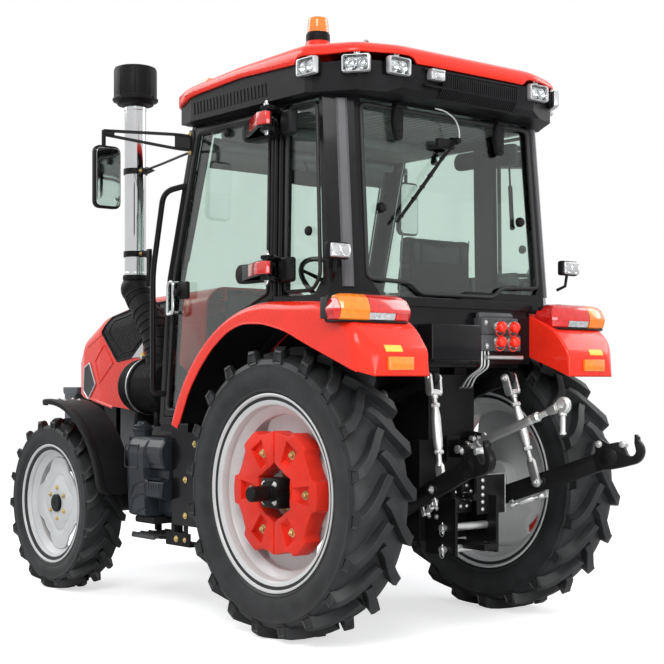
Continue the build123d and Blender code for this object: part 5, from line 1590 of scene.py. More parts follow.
@bothSides("mirrorSilver", angle=20)
def mirrorGlass(bm):
    m = mirror
    cy, cz = (m["y0"] + m["y1"]) / 2, (m["z0"] + m["z1"]) / 2
    rings = []
    for x, share in ((m["x0"] + 0.002, 0.88), (m["x0"] - 0.004, 0.88), (m["x0"] - 0.005, 0.6),
                     (m["x0"] - 0.005, 0.2)):
        rings.append([(x, cy + u, cz + v) for u, v in roundedRing((m["y1"] - m["y0"]) / 2 * share,
                (m["z1"] - m["z0"]) / 2 * (0.35 + 0.65 * share), 0.028 * share, 6)])
    addSolid(bm, rings)


railPoints = [(1.062, 0.708, 1.112), (1.086, 0.768, 1.116), (1.088, 0.768, 1.74), (0.985, 0.768, 2.15),
              (0.884, 0.696, 2.176)]


@bothSides("cabGloss", covers=["mirrors_and_rails"], angle=60)
def grabRails(bm):
    addTube(bm, smoothPath(railPoints, 0.07, 8), 0.015, 20)
    for point in (railPoints[0], railPoints[-1]):
        x, y, z = point
        addLathe(bm, [(-0.012, 0), (-0.012, 0.026), (0.0, 0.026), (0.004, 0.018), (0.004, 0)],
                 (x, y - 0.006, z), 24, "y")


print("bonnet, intake and mirrors made")


def lineFrame(start, end, flat=(0, 1, 0)):
    # start, the direction to the end, and two directions square to it; the last one points up
    start = Vector(start)
    along = (Vector(end) - start).normalized()
    flat = Vector(flat)
    flat = (flat - along * flat.dot(along)).normalized()
    rise = along.cross(flat)
    return start, along, flat, rise if rise.z >= 0 else -rise


def addSpindle(bm, start, end, profile, steps=28):
    # turned shape on the line from start towards end: (distance, radius)
    base, along, flat, rise = lineFrame(start, end,
                                        (0, 1, 0) if abs((Vector(end) - Vector(start)).normalized().y) < 0.9
                                        else (1, 0, 0))
    rings = [circle(base + along * t, flat, rise, r, turn(steps)) for t, r in profile]
    addSolid(bm, rings)


def addPlate(bm, outline, line, half, shift=0.0, bevel=0.003):
    # flat bar: an outline of (along, up) points, with its thickness across the line
    base, along, flat, rise = line
    near = [bm.verts.new(base + along * a + rise * b + flat * (shift - half)) for a, b in outline]
    far = [bm.verts.new(base + along * a + rise * b + flat * (shift + half)) for a, b in outline]
    n = len(outline)
    faces = [bm.faces.new(near[::-1]), bm.faces.new(far)]
    faces += [bm.faces.new((near[i], near[(i + 1) % n], far[(i + 1) % n], far[i])) for i in range(n)]
    bmesh.ops.recalc_face_normals(bm, faces=faces)
    if bevel:
        edges = list({e for f in faces[:2] for e in f.edges})
        bmesh.ops.bevel(bm, geom=edges, offset=bevel, segments=2, affect="EDGES", profile=0.5,
                        clamp_overlap=True)


def arcPoints(x, z, radius, start, end, steps=10):
    return [(x + radius * cos(radians(start + (end - start) * i / steps)),
             z + radius * sin(radians(start + (end - start) * i / steps))) for i in range(steps + 1)]


def cornerSmooth(points, radius, steps=6):
    flat = smoothPath([(x, 0, z) for x, z in points], radius, steps)
    return [(p[0], p[2]) for p in flat]


def threads(start, end, radius, pitch=0.003):
    count = int((end - start) / pitch)
    return [(start + pitch * i / 2, radius - (0.0012 if i % 2 else 0)) for i in range(2 * count + 1)]


# side tanks
tank = {"rear": 1.02, "front": 1.385, "low": 0.47, "top": 0.88, "inner": 0.24, "column": 1.168}
tankGrooves = ([(1.33, 0.54), (1.3, 0.585), (1.27, 0.626), (1.235, 0.64), (1.176, 0.65)],
               [(1.325, 0.47), (1.31, 0.5), (1.28, 0.56), (1.245, 0.575), (1.176, 0.585)],
               [(1.265, 0.478), (1.23, 0.495), (1.17, 0.51)])
stepFace = [(0.47, 0.085), (0.56, 0.085), (0.572, 0.012), (0.582, 0.004), (0.655, 0.014), (0.672, 0.052),
            (0.718, 0.056), (0.726, 0.03), (0.742, 0.028), (0.752, 0.022), (0.8, 0.012), (0.88, 0.006)]


def linePoint(table, x):
    for (a, fa), (b, fb) in zip(table, table[1:]):
        if x <= b:
            return fa + (fb - fa) * max(x - a, 0) / (b - a)
    return table[-1][1]


def nearLine(x, z, points):
    best = 9
    for (ax, az), (bx, bz) in zip(points, points[1:]):
        a, d = Vector((ax, az)), Vector((bx - ax, bz - az))
        t = min(max((Vector((x, z)) - a).dot(d) / d.length_squared, 0), 1)
        best = min(best, (a + d * t - Vector((x, z))).length)
    return best


def tankFace(x, z, plain=False):
    # half width of the outer face at a place on the tank
    y = linePoint([(0.47, 0.76), (0.5, 0.767), (0.8, 0.78), (0.835, 0.772), (0.88, 0.742)], z)
    if plain:
        return y
    y -= 0.007 * max(0.0, 1 - (min(nearLine(x, z, g) for g in tankGrooves) / 0.0065) ** 2)
    inside = min(x - 1.225, 1.369 - x, z - 0.724, 0.839 - z)
    if inside > -0.006:
        y -= 0.0065 * min((inside + 0.006) / 0.006, 1)
    step = min(max((tank["column"] - x) / 0.014, 0), 1)
    return y - step * linePoint(stepFace, z)


def buildTank(bm):
    rounded = 0.075
    reach = tank["front"] - rounded - tank["rear"] - 0.008
    xs = [tank["rear"] + 0.008 + reach * i / 58 for i in range(59)]
    levels = [0.47, 0.474] + [0.478 + 0.0054 * i for i in range(73)] + [0.876, 0.88]
    rings = []
    for z in levels:
        tuck = 0.008 if z in (0.47, 0.88) else (0.003 if z in (0.474, 0.876) else 0)
        ring = [Vector((tank["rear"] + tuck, tank["inner"], z)),
                Vector((tank["rear"] + tuck, tankFace(tank["rear"] + 0.008, z) - 0.01 - tuck, z))]
        ring += [Vector((x, tankFace(x, z) - tuck, z)) for x in xs]
        for i in range(1, 13):
            angle = pi / 2 * (1 - i / 12)
            x = tank["front"] - rounded + rounded * cos(angle) - tuck
            back = rounded * (1 - sin(angle))
            drop = tankFace(x, z, True) - tankFace(x, z)
            ring.append(Vector((x - drop * cos(angle),
                                tankFace(x, z, True) - back - drop * sin(angle) - tuck, z)))
        ring.append(Vector((tank["front"] - tuck, tank["inner"], z)))
        rings.append(ring)
    addSolid(bm, rings)
    # seam band, rim of the recess and the tread ribs on the step
    addBox(bm, (tank["rear"] + 0.004, tank["inner"] + 0.01, 0.862),
           (tank["front"] - 0.01, 0.738, 0.886), 0.005)
    rim = cornerSmooth([(1.222, 0.722), (1.222, 0.841), (1.36, 0.841), (1.36, 0.722), (1.222, 0.722)], 0.018)
    addTube(bm, [(x, tankFace(x, z, True) - max(0, (x - 1.325) / 0.06) ** 2 * 0.018 + 0.001, z)
                 for x, z in rim], 0.0035, 8)
    for n in range(5):
        x = 1.04 + 0.024 * n
        addPlate(bm, [(0, 0), (0.014, 0.0), (0.03, 0.062), (0.016, 0.062)],
                 (Vector((x - 0.012, 0, 0.586)), Vector((1, 0, 0)), Vector((0, 1, 0)), Vector((0, 0, 1))),
                 0.003, tankFace(1.1, 0.62) + 0.001, 0.0015)
    for n in range(14):
        addBox(bm, (1.03 + 0.0098 * n, tankFace(1.1, 0.665) - 0.022, 0.664),
               (1.0345 + 0.0098 * n, tankFace(1.1, 0.65), 0.676), 0.0015, 1)


@bothSides("blackPlastic")
def tankFoot(bm):
    addBox(bm, (1.115, 0.56, 0.432), (1.305, 0.745, 0.468), 0.01)
    addBox(bm, (1.12, 0.56, 0.375), (1.15, 0.59, 0.47), 0.003)
    addBox(bm, (1.325, 0.56, 0.375), (1.355, 0.59, 0.47), 0.003)
    addBox(bm, (1.04, 0.18, 0.6), (1.1, 0.245, 0.7), 0.004)
    # bracket behind the step
    addBox(bm, (0.86, 0.684, 0.33), (1.085, 0.692, 0.4), 0.002)
    addBox(bm, (0.86, 0.56, 0.33), (1.085, 0.69, 0.338), 0.002)
    for x in (0.885, 1.0):
        addBox(bm, (x, 0.683, 0.39), (x + 0.035, 0.691, 0.47), 0.002)
    for y in (0.585, 0.665):
        addBox(bm, (1.08, y, 0.352), (1.17, y + 0.02, 0.366), 0.002)


@bothSides("castGrey")
def stepPlate(bm):
    # step with raised teeth and open slots
    low, high = (1.16, 0.5), (1.38, 0.72)
    for n in range(9):
        x = low[0] + (high[0] - low[0] - 0.012) * n / 8
        addBox(bm, (x, low[1] + 0.01, 0.35), (x + 0.012, high[1] - 0.01, 0.368), 0.003)
    for n in range(5):
        y = low[1] + (high[1] - low[1] - 0.014) * n / 4
        addBox(bm, (low[0], y, 0.345), (high[0], y + 0.014, 0.366), 0.004)
        for m in range(11):
            x = low[0] + 0.012 + 0.0195 * m
            addBox(bm, (x, y + 0.001, 0.364), (x + 0.009, y + 0.013, 0.3745), 0.0025, 1)


@onePiece("tankPlastic")
def tankFiller(bm):
    at = (1.31, 0.69, 0)
    addLathe(bm, [(0.85, 0.048), (0.912, 0.048), (0.916, 0.053), (0.926, 0.053), (0.929, 0.048)], at, 40, "z")
    rim = [(0.929, 0.043), (0.944, 0.043), (0.948, 0.039), (0.95, 0.03), (0.963, 0.026), (0.966, 0.018)]
    addLathe(bm, rim, at, 40, "z")
    for angle in turn(20):
        x, y = at[0] + 0.043 * cos(angle), at[1] + 0.043 * sin(angle)
        addBox(bm, (x - 0.003, y - 0.003, 0.93), (x + 0.003, y + 0.003, 0.943), 0.001, 1)


bothSides("tankPlastic", name="tank", covers=["side_tanks"])(buildTank)


@bothSides("brassPlate")
def plateBolts(bm):
    for x, z in ((0.886, 0.675), (0.886, 0.492), (0.8, 0.86)):
        addBolt(bm, (x, 0.702, z), (0, 1, 0), 0.0115, 0.008)
    addBolt(bm, (0.985, 0.692, 0.365), (0, 1, 0), 0.0115, 0.008)
    addBolt(bm, (0.905, 0.692, 0.365), (0, 1, 0), 0.009, 0.007)
    for x in (1.205, 1.125):
        addBolt(bm, (x, 0.535, 1.0), (0, 1, 0), 0.01, 0.007)


@bothSides("zincPlate")
def finnedCooler(bm):
    # finned block below the air cleaner
    for n in range(9):
        x = 1.15 + 0.0155 * n
        addBox(bm, (x, 0.455, 0.905), (x + 0.005, 0.535, 1.0), 0.0012, 1)
    addBox(bm, (1.145, 0.46, 0.912), (1.28, 0.515, 0.99), 0.003)
    addBox(bm, (1.1, 0.47, 0.985), (1.29, 0.53, 1.01), 0.004)


print("tanks made")

# front fenders: a sheet with a rolled outer bead
frontFender = {"x": 2.05, "z": 0.485, "radius": 0.59, "inner": 0.655, "outer": 0.867, "start": 80, "end": 172}


@bothSides("blackPlastic", "knuckle_SIDE", covers=["front_fender_SIDE"])
def frontFenderSheet(bm):
    f = frontFender
    inner, outer = f["inner"], f["outer"]
    section = [(0, inner), (0, outer - 0.04), (0.003, outer - 0.036), (0.0045, outer - 0.022),
               (0.003, outer - 0.006), (-0.003, outer), (-0.026, outer), (-0.028, outer - 0.004),
               (-0.024, outer - 0.006), (-0.01, outer - 0.01), (-0.007, outer - 0.04),
               (-0.009, inner + 0.012), (-0.009, inner)]
    rings = []
    count = 64
    for i in range(count + 1):
        part = i / count
        angle = radians(f["start"] + (f["end"] - f["start"]) * part)
        edge = min(part, 1 - part) * count
        tuck = 0.055 * (1 - sqrt(max(0, 1 - (1 - min(edge / 5, 1)) ** 2)))
        ring = []
        for lift, y in section:
            y += tuck if y < (inner + outer) / 2 else -tuck
            radius = f["radius"] + lift
            ring.append(Vector((f["x"] + radius * cos(angle), y, f["z"] + radius * sin(angle))))
        rings.append(ring)
    addSolid(bm, rings)


@bothSides("zincPlate", "knuckle_SIDE")
def frontFenderBolts(bm):
    f = frontFender
    for dx in (-0.075, 0.0):
        angle = acos(dx / f["radius"])
        for y in (0.7, 0.79):
            addBolt(bm, (f["x"] + dx, y, f["z"] + f["radius"] * sin(angle)),
                    (dx, 0, f["radius"]), 0.009, 0.006)


# three-point linkage
liftTip, liftFoot = (-0.465, 0.251, 1.195), (-0.584, 0.3128, 0.6994)


@bothSides("zincPlate", "lift_rod_SIDE", covers=["lift_rod_SIDE"])
def liftRod(bm):
    line = lineFrame(liftTip, liftFoot)
    base, along, flat = line[:3]
    length = (Vector(liftFoot) - base).length
    for k in (1, -1):
        cheek = arcPoints(0, 0, 0.022, 90, 270) + [(0.072, -0.022), (0.078, -0.016),
                                                   (0.078, 0.016), (0.072, 0.022)]
        addPlate(bm, cheek, line, 0.006, 0.028 * k, 0.0025)
    addPlate(bm, [(0.06, -0.02), (0.06, 0.02), (0.08, 0.02), (0.086, 0.012), (0.086, -0.012), (0.08, -0.02)],
             line, 0.0335, 0, 0.005)
    addSpindle(bm, base - flat * 0.04, base + flat * 0.04,
               [(0, 0.01), (0.001, 0.017), (0.006, 0.017), (0.007, 0.0115), (0.076, 0.0115), (0.08, 0.009)])
    neck = [(0.084, 0.0165), (0.098, 0.0165)] + threads(0.1, 0.122, 0.0125) + [(0.124, 0.018),
            (0.134, 0.0185), (0.142, 0.0165)]
    barrel = [(0.15, 0.0165), (0.185, 0.0215), (length - 0.215, 0.0225), (length - 0.19, 0.02),
              (length - 0.176, 0.0165)]
    low = [(length - 0.172, 0.02), (length - 0.158, 0.02)] + threads(length - 0.155, length - 0.118, 0.0125)
    addSpindle(bm, base, base + along, neck + barrel + low + [(length - 0.116, 0.016),
                                                              (length - 0.1, 0.016)], 32)
    addSpindle(bm, base, base + along, [(0.122, 0.021), (0.124, 0.0225), (0.138, 0.0225), (0.14, 0.021)], 6)
    addSpindle(bm, base, base + along, [(length - 0.174, 0.022), (length - 0.172, 0.0235),
                                        (length - 0.16, 0.0235), (length - 0.158, 0.022)], 6)
    foot = [(length - 0.112, -0.016), (length - 0.104, -0.022)] + arcPoints(length, 0, 0.024, -90, 90)
    addPlate(bm, foot + [(length - 0.104, 0.022), (length - 0.112, 0.016)], line, 0.0088, 0, 0.003)
    end = base + along * length
    addSpindle(bm, end - flat * 0.0125, end + flat * 0.0125,
               [(0, 0.017), (0.002, 0.0195), (0.023, 0.0195), (0.025, 0.017)])


@bothSides("zincPlate", "lift_rod_SIDE")
def liftRodBolts(bm):
    base, along, flat = lineFrame(liftTip, liftFoot)[:3]
    end = base + along * (Vector(liftFoot) - base).length
    addBolt(bm, end - flat * 0.0125, -flat, 0.0125, 0.008)
    addBolt(bm, base - flat * 0.04, -flat, 0.011, 0.008)


rockshaft = {"x": -0.15, "z": 1.11, "radius": 0.034, "half": 0.273, "arm": 0.251}


@onePiece("blackSteel", "lift_arms", covers=["lift_arms"])
def liftArms(bm):
    r = rockshaft
    addLathe(bm, [(-r["half"], 0.026), (-r["half"] + 0.004, 0.033), (r["half"] - 0.004, 0.033),
                  (r["half"], 0.026)], (r["x"], 0, r["z"]), 40)
    for k in (1, -1):
        line = lineFrame((r["x"], k * r["arm"], r["z"]), (liftTip[0], k * r["arm"], liftTip[2]))
        length = hypot(liftTip[0] - r["x"], liftTip[2] - r["z"])
        outline = arcPoints(0, 0, 0.05, 80, 280) + [(0.1, -0.036), (0.2, -0.03)]
        outline += arcPoints(length, 0, 0.032, -80, 80) + [(0.2, 0.04), (0.1, 0.048)]
        addPlate(bm, outline, line, 0.0165, 0, 0.006)
        addPlate(bm, [(0.07, -0.018), (0.24, -0.012), (0.26, 0), (0.24, 0.018), (0.07, 0.026), (0.055, 0)],
                 line, 0.0195, 0, 0.006)


@onePiece("zincPlate", "lift_arms")
def rockshaftEnds(bm):
    r = rockshaft
    for k in (1, -1):
        addSpindle(bm, (r["x"], k * (r["half"] - 0.006), r["z"]), (r["x"], k, r["z"]),
                   [(0, 0.029), (0.01, 0.029), (0.012, 0.026)], 30)
        for n in range(3):
            angle = radians(30 + 120 * n)
            addBolt(bm, (r["x"] + 0.015 * cos(angle), k * (r["half"] + 0.004), r["z"] + 0.015 * sin(angle)),
                    (0, k, 0), 0.0055, 0.005, False)


linkFoot, linkHook = (-0.15, 0.225, 0.54), (-1.016, 0.481, 0.858)


@bothSides("blackSteel", "lower_link_SIDE", covers=["lower_link_SIDE"])
def lowerLink(bm):
    line = lineFrame(linkFoot, linkHook)
    base, along, flat, rise = line
    length = (Vector(linkHook) - base).length
    bar = [(0.03, -0.026), (0.075, -0.041), (0.095, -0.043), (length - 0.15, -0.043), (length - 0.11, -0.034)]
    bar += [(length - 0.11, 0.034), (length - 0.15, 0.043), (0.095, 0.043), (0.075, 0.041), (0.03, 0.026)]
    addPlate(bm, bar, line, 0.012, 0, 0.004)
    hook = [(-0.185, -0.036), (-0.185, 0.034), (-0.168, 0.052)] + arcPoints(-0.14, 0.078, 0.024, 160, 30, 6)
    hook += [(-0.095, 0.066), (-0.05, 0.06), (-0.032, 0.05),
             (-0.026, 0.028)] + arcPoints(0, 0, 0.0235, 180, 360)
    hook += [(0.026, 0.03), (0.033, 0.05), (0.038, 0.066), (0.046, 0.066),
             (0.054, 0.05)] + arcPoints(0, 0, 0.062, 35, -90, 12)
    hook += [(-0.06, -0.058), (-0.11, -0.052)]
    addPlate(bm, [(length + a, b) for a, b in hook], line, 0.0165, 0, 0.005)
    disc = base + along * (length - 0.113) + rise * 0.006
    addSpindle(bm, disc - flat * 0.02, disc + flat * 0.02,
               [(0, 0.037), (0.003, 0.042), (0.037, 0.042), (0.04, 0.037)], 36)
    addSpindle(bm, disc - flat * 0.023, disc + flat * 0.023,
               [(0, 0.02), (0.001, 0.023), (0.045, 0.023), (0.046, 0.02)], 24)
    ball = bmesh.ops.create_uvsphere(bm, u_segments=28, v_segments=16, radius=0.034)["verts"]
    for v in ball:
        v.co += base
    addSpindle(bm, base - flat * 0.017, base + flat * 0.017,
               [(0, 0.028), (0.002, 0.037), (0.032, 0.037), (0.034, 0.028)], 32)
    # bearing of the lift rod's pin on the bar
    pin = base + along * 0.48
    addSpindle(bm, pin - flat * 0.017, pin + flat * 0.017,
               [(0, 0.02), (0.002, 0.023), (0.032, 0.023), (0.034, 0.02)], 24)


@bothSides("zincPlate", "lower_link_SIDE")
def lowerLinkTrim(bm):
    line = lineFrame(linkFoot, linkHook)
    base, along, flat, rise = line
    length = (Vector(linkHook) - base).length
    pin = base + along * 0.48
    addSpindle(bm, pin - flat * 0.045, pin + flat * 0.03,
               [(0, 0.009), (0.002, 0.0105), (0.07, 0.0105), (0.075, 0.009)], 24)
    addBolt(bm, pin + flat * 0.018, flat, 0.014, 0.01)
    top = base + along * (length - 0.14) + rise * 0.078
    for k in (1, -1):
        addBolt(bm, top + flat * 0.0165 * k, flat * k, 0.0115, 0.008)
    latch = base + along * (length - 0.03) + rise * 0.042
    addSpindle(bm, latch - flat * 0.021, latch + flat * 0.021,
               [(0, 0.011), (0.002, 0.016), (0.04, 0.016), (0.042, 0.011)], 24)
    # turnbuckle of the stabiliser below the bar
    low = base + along * 0.3 - rise * 0.066 - flat * 0.03
    high = base + along * 0.465 - rise * 0.06 + flat * 0.012
    addSpindle(bm, low, high, [(0, 0.01), (0.004, 0.013), (0.018, 0.013)] + threads(0.02, 0.044, 0.0075)
               + [(0.046, 0.0125), (0.05, 0.0135), (0.112, 0.0135),
                  (0.116, 0.0125)] + threads(0.118, 0.142, 0.0075)
               + [(0.146, 0.012), (0.16, 0.013), (0.166, 0.01)], 20)
    addPlate(bm, [(0.455, -0.075), (0.485, -0.075), (0.485, -0.038), (0.455, -0.038)], line,
             0.004, 0.012, 0.001)
    addPlate(bm, [(0.29, -0.08), (0.312, -0.08), (0.312, -0.038), (0.29, -0.038)], line, 0.004, -0.012, 0.001)


topFront, topRear = (-0.425, 0, 0.861), (-1.023, 0, 1.074)


@onePiece("zincPlate", "top_link", covers=["top_link"])
def topLink(bm):
    line = lineFrame(topFront, topRear)
    base, along = line[:2]
    length = (Vector(topRear) - base).length
    rod = [(0.03, 0.015), (0.044, 0.014)] + threads(0.046, 0.078, 0.0135) + [(0.08, 0.019),
            (0.084, 0.0205), (0.1, 0.0205)]
    rod += [(0.104, 0.0175), (0.112, 0.0165), (0.118, 0.0195), (length - 0.205, 0.0215),
            (length - 0.196, 0.0215)]
    rod += [(length - 0.19, 0.0185), (length - 0.18, 0.0185), (length - 0.176, 0.0225),
            (length - 0.156, 0.0225)]
    rod += [(length - 0.152, 0.017)] + threads(length - 0.148, length - 0.092, 0.0135)
    rod += [(length - 0.088, 0.0165), (length - 0.062, 0.021), (length - 0.034, 0.025)]
    addSpindle(bm, base, base + along, rod, 32)
    for centre in (base, base + along * length):
        ring = [(-0.0155, 0.016), (-0.0155, 0.03), (-0.009, 0.037), (0.009, 0.037), (0.0155, 0.03),
                (0.0155, 0.016)]
        ball = [(-0.0165, 0.013), (-0.0155, 0.0175), (-0.008, 0.023), (0.008, 0.023), (0.0155, 0.0175),
                (0.0165, 0.013)]
        for profile in (ring, ball):
            addLathe(bm, profile, centre, 36, "y", loop=True)
    # hitch pin that hangs from the rear eye
    eye = base + along * length
    hang = [(0.03, 0.016), (0.034, 0.018), (0.044, 0.018), (0.047, 0.0125), (0.118, 0.0125), (0.12, 0.016),
            (0.126, 0.016), (0.13, 0.009)]
    addSpindle(bm, eye + Vector((0.004, 0, 0)), eye + Vector((0.004, 0, -1)), hang, 28)


def ringLoop(centre, radius, direction, count=24):
    # round ring of wire through a pin
    side = Vector(direction).orthogonal().normalized()
    up = Vector(direction).normalized().cross(side)
    return circle(Vector(centre), side, up, radius, [2 * pi * n / count for n in range(count + 1)])


@onePiece("zincPlate")
def hitchPins(bm):
    # pins, rings and bolts of the rear brackets
    addLathe(bm, [(-0.06, 0.008), (-0.058, 0.0125), (0.05, 0.0125), (0.052, 0.02), (0.058, 0.02),
                  (0.06, 0.016)], (topFront[0], 0, topFront[2]), 28)
    addTube(bm, ringLoop((topFront[0], -0.055, topFront[2] - 0.022), 0.022, (1, 0, 0.2)), 0.0025, 8)
    for y in (-0.078, -0.112):
        addLathe(bm, [(y - 0.012, 0.01), (y - 0.01, 0.015), (y + 0.01, 0.015), (y + 0.012, 0.01)],
                 (-0.392, 0, 0.905), 24)
        addLathe(bm, [(y - 0.012, 0.01), (y - 0.01, 0.015), (y + 0.01, 0.015), (y + 0.012, 0.01)],
                 (-0.408, 0, 0.835), 24)
    addTube(bm, smoothPath([(-0.4, -0.15, 0.93), (-0.43, -0.15, 0.9), (-0.425, -0.15, 0.845),
                            (-0.395, -0.15, 0.82)], 0.02), 0.008, 12)
    for z in (0.4, 0.5):
        for profile in ([(-0.127, 0.0185), (0.127, 0.0185)],
                        [(-0.172, 0.012), (-0.168, 0.0165), (-0.143, 0.0165)],
                        [(0.143, 0.0165), (0.168, 0.0165), (0.172, 0.012)]):
            addLathe(bm, profile, (-0.43, 0, z), 28)
        for k in (1, -1):
            addTube(bm, ringLoop((-0.43, k * 0.162, z - 0.018), 0.02, (0.3, 1, 0)), 0.0022, 8)
            addTube(bm, [(-0.43, k * 0.158, z + 0.026), (-0.43, k * 0.158, z - 0.026)], 0.0035, 8)
    for k in (1, -1):
        for x in (-0.325, -0.375):
            for z in (0.56, 0.6, 0.63):
                addBolt(bm, (x, k * 0.143, z - 0.012), (0, k, 0), 0.009, 0.007)


@onePiece("blackSteel")
def rearBrackets(bm):
    # cheeks beside the top link's pin, the shield over the power shaft and its flange
    for y in (-0.095, -0.13):
        line = (Vector((-0.345, y, 0.86)), Vector((-1, 0, 0)), Vector((0, 1, 0)), Vector((0, 0, 1)))
        addPlate(bm, [(-0.045, -0.06), (0.05, -0.052), (0.072, -0.02), (0.062, 0.03), (0.052, 0.072),
                      (0.0, 0.08), (-0.045, 0.06)], line, 0.006, 0, 0.002)
    addBox(bm, (-0.452, -0.236, 0.552), (-0.446, -0.046, 0.736), 0.002)
    addBox(bm, (-0.45, -0.236, 0.552), (-0.3, -0.23, 0.736), 0.002)
    addBox(bm, (-0.45, -0.236, 0.73), (-0.3, -0.046, 0.736), 0.002)
    addBox(bm, (-0.452, 0.046, 0.64), (-0.3, 0.052, 0.736), 0.002)
    addBox(bm, (-0.452, -0.052, 0.73), (-0.3, 0.052, 0.736), 0.002)
    addLathe(bm, [(-0.402, 0.07), (-0.412, 0.066), (-0.412, 0.03), (-0.406, 0.026)], (0, 0, 0.64), 40, "x")


@onePiece("zincPlate")
def shieldTrim(bm):
    for n in range(5):
        addBolt(bm, (-0.452, -0.085, 0.575 + 0.034 * n), (-1, 0, 0), 0.0065, 0.006)
    addBox(bm, (-0.454, -0.238, 0.736), (-0.446, -0.044, 0.74), 0.001, 1)
    addBox(bm, (-0.454, -0.239, 0.552), (-0.446, -0.236, 0.738), 0.001, 1)
    for angle in turn(6):
        y, z = 0.0175 * cos(angle), 0.64 + 0.0175 * sin(angle)
        addTube(bm, [(-0.398, y, z), (-0.428, y, z)], 0.0035, 6)
    for angle in turn(8, 0.5):
        addBolt(bm, (-0.41, 0.052 * cos(angle), 0.64 + 0.052 * sin(angle)), (-1, 0, 0), 0.006, 0.006)


@onePiece("cabGloss", covers=["rear_valves"])
def rearCover(bm):
    addBox(bm, (-0.5, -0.02, 1.275), (-0.405, 0.29, 1.44), 0.006, 3)
    addBox(bm, (-0.505, -0.012, 1.27), (-0.492, 0.282, 1.276), 0.002)


@onePiece("castGrey", covers=["rear_valves"])
def valveBlock(bm):
    addBox(bm, (-0.47, -0.33, 1.322), (-0.405, -0.06, 1.398), 0.006)
    addBox(bm, (-0.462, -0.32, 1.398), (-0.405, -0.07, 1.48), 0.006)
    for n in range(6):
        y = -0.31 + 0.045 * n
        addBox(bm, (-0.475, y, 1.326), (-0.466, y + 0.01, 1.394), 0.003)
        addBox(bm, (-0.467, y, 1.404), (-0.458, y + 0.01, 1.476), 0.003)
    addLathe(bm, [(-0.3, 0.012), (-0.29, 0.018), (-0.08, 0.018), (-0.07, 0.012)], (-0.432, 0, 1.488), 24)


@onePiece("zincPlate")
def couplers(bm):
    for y in (-0.25, -0.16):
        for z in (1.365, 1.435):
            addLathe(bm, [(-0.46, 0.02), (-0.462, 0.024), (-0.48, 0.024), (-0.482, 0.019), (-0.487, 0.019),
                          (-0.489, 0.022), (-0.5, 0.022), (-0.502, 0.018)], (0, y, z), 32, "x")
    addTube(bm, [(-0.458, -0.105, 1.292), (-0.458, -0.35, 1.292)], 0.01, 16)
    for y, x in ((-0.09, -0.44), (-0.12, -0.43), (-0.15, -0.425)):
        addTube(bm, smoothPath([(x, y, 1.33), (x, y, 1.245), (x + 0.055, y + 0.03, 1.2),
                                (-0.345, y + 0.035, 1.15), (-0.322, y + 0.036, 1.146)], 0.018), 0.0055, 10)
    for y in (-0.3, -0.095):
        addBolt(bm, (-0.47, y, 1.345), (-1, 0, 0), 0.009, 0.007)
        addBolt(bm, (-0.462, y, 1.455), (-1, 0, 0), 0.009, 0.007)


@onePiece("redPaint")
def couplerCaps(bm):
    for y in (-0.25, -0.16):
        for z in (1.365, 1.435):
            addLathe(bm, [(-0.492, 0.0235), (-0.494, 0.026), (-0.512, 0.026), (-0.52, 0.022),
                          (-0.526, 0.012)], (0, y, z), 32, "x")
            addTube(bm, ringLoop((-0.498, y, z - 0.012), 0.032, (1, 0, 0.25)), 0.0028, 8)


@bothSides("blackSteel")
def axleFlanges(bm):
    for y, radius in ((0.19, 0.165), (0.47, 0.118)):
        addLathe(bm, [(y, radius - 0.004), (y + 0.004, radius), (y + 0.022, radius),
                      (y + 0.026, radius - 0.004)], (0, 0, 0.67), 48)
    for angle in turn(8):
        outer, inner = Vector((cos(angle), 0, sin(angle))), Vector((0, 0, 0.67))
        addTube(bm, [inner + outer * 0.145 + Vector((0, 0.215, 0)),
                     inner + outer * 0.108 + Vector((0, 0.47, 0))], 0.008, 8)


@bothSides("zincPlate")
def axleFlangeBolts(bm):
    for angle in turn(12, 0.5):
        at = (0.152 * cos(angle), 0.216, 0.67 + 0.152 * sin(angle))
        addBolt(bm, at, (0, 1, 0), 0.009, 0.008)
        at = (0.106 * cos(angle), 0.496, 0.67 + 0.106 * sin(angle))
        addBolt(bm, at, (0, 1, 0), 0.007, 0.006)


print("linkage made")

# front ballast
ballast = {"back": 2.735, "front": 2.95, "pitch": 0.092}


@onePiece("weightGrey", covers=["front_weights"])
def ballastPlates(bm):
    back, front = ballast["back"], ballast["front"]
    outline = [(back, 0.62), (back, 0.9), (back + 0.065, 0.96), (back + 0.065, 1.08), (back + 0.035, 1.1),
               (back + 0.035, 1.14), (front, 1.14), (front, 1.108), (front - 0.02, 1.09),
               (front - 0.02, 0.64), (front - 0.06, 0.6), (back + 0.025, 0.6)]
    for n in (-2.5, -1.5, -0.5, 0.5, 1.5, 2.5):
        y = n * ballast["pitch"]
        addPrism(bm, outline, "y", y - 0.044, y + 0.044, 0.005)
        addBox(bm, (front - 0.022, y - 0.026, 0.7), (front - 0.012, y + 0.026, 1.02), 0.004)
    addLathe(bm, [(-0.296, 0.01), (-0.294, 0.014), (0.294, 0.014), (0.296, 0.01)], (front - 0.09, 0, 0.8), 24)


print("ballast made")

# rear fenders: one smooth shell a side
fender = {"radius": 0.875, "axle": 0.67, "start": 20, "inner": 0.46, "outer": 0.84, "tail": -0.66,
          "edge": 0.046, "stations": 84}
fenderTail = [(0.02, 1.544), (-0.324, 1.531), (-0.44, 1.49), (-0.575, 1.425), (-0.66, 1.31), (-0.66, 1.203)]
fenderLip = [(0.752, 0.944), (0.655, 1.129), (0.562, 1.24), (0.451, 1.34), (0.327, 1.415), (0.206, 1.449),
             (0.05, 1.444), (-0.117, 1.408), (-0.279, 1.343), (-0.434, 1.286), (-0.583, 1.231), (-0.66, 1.2)]


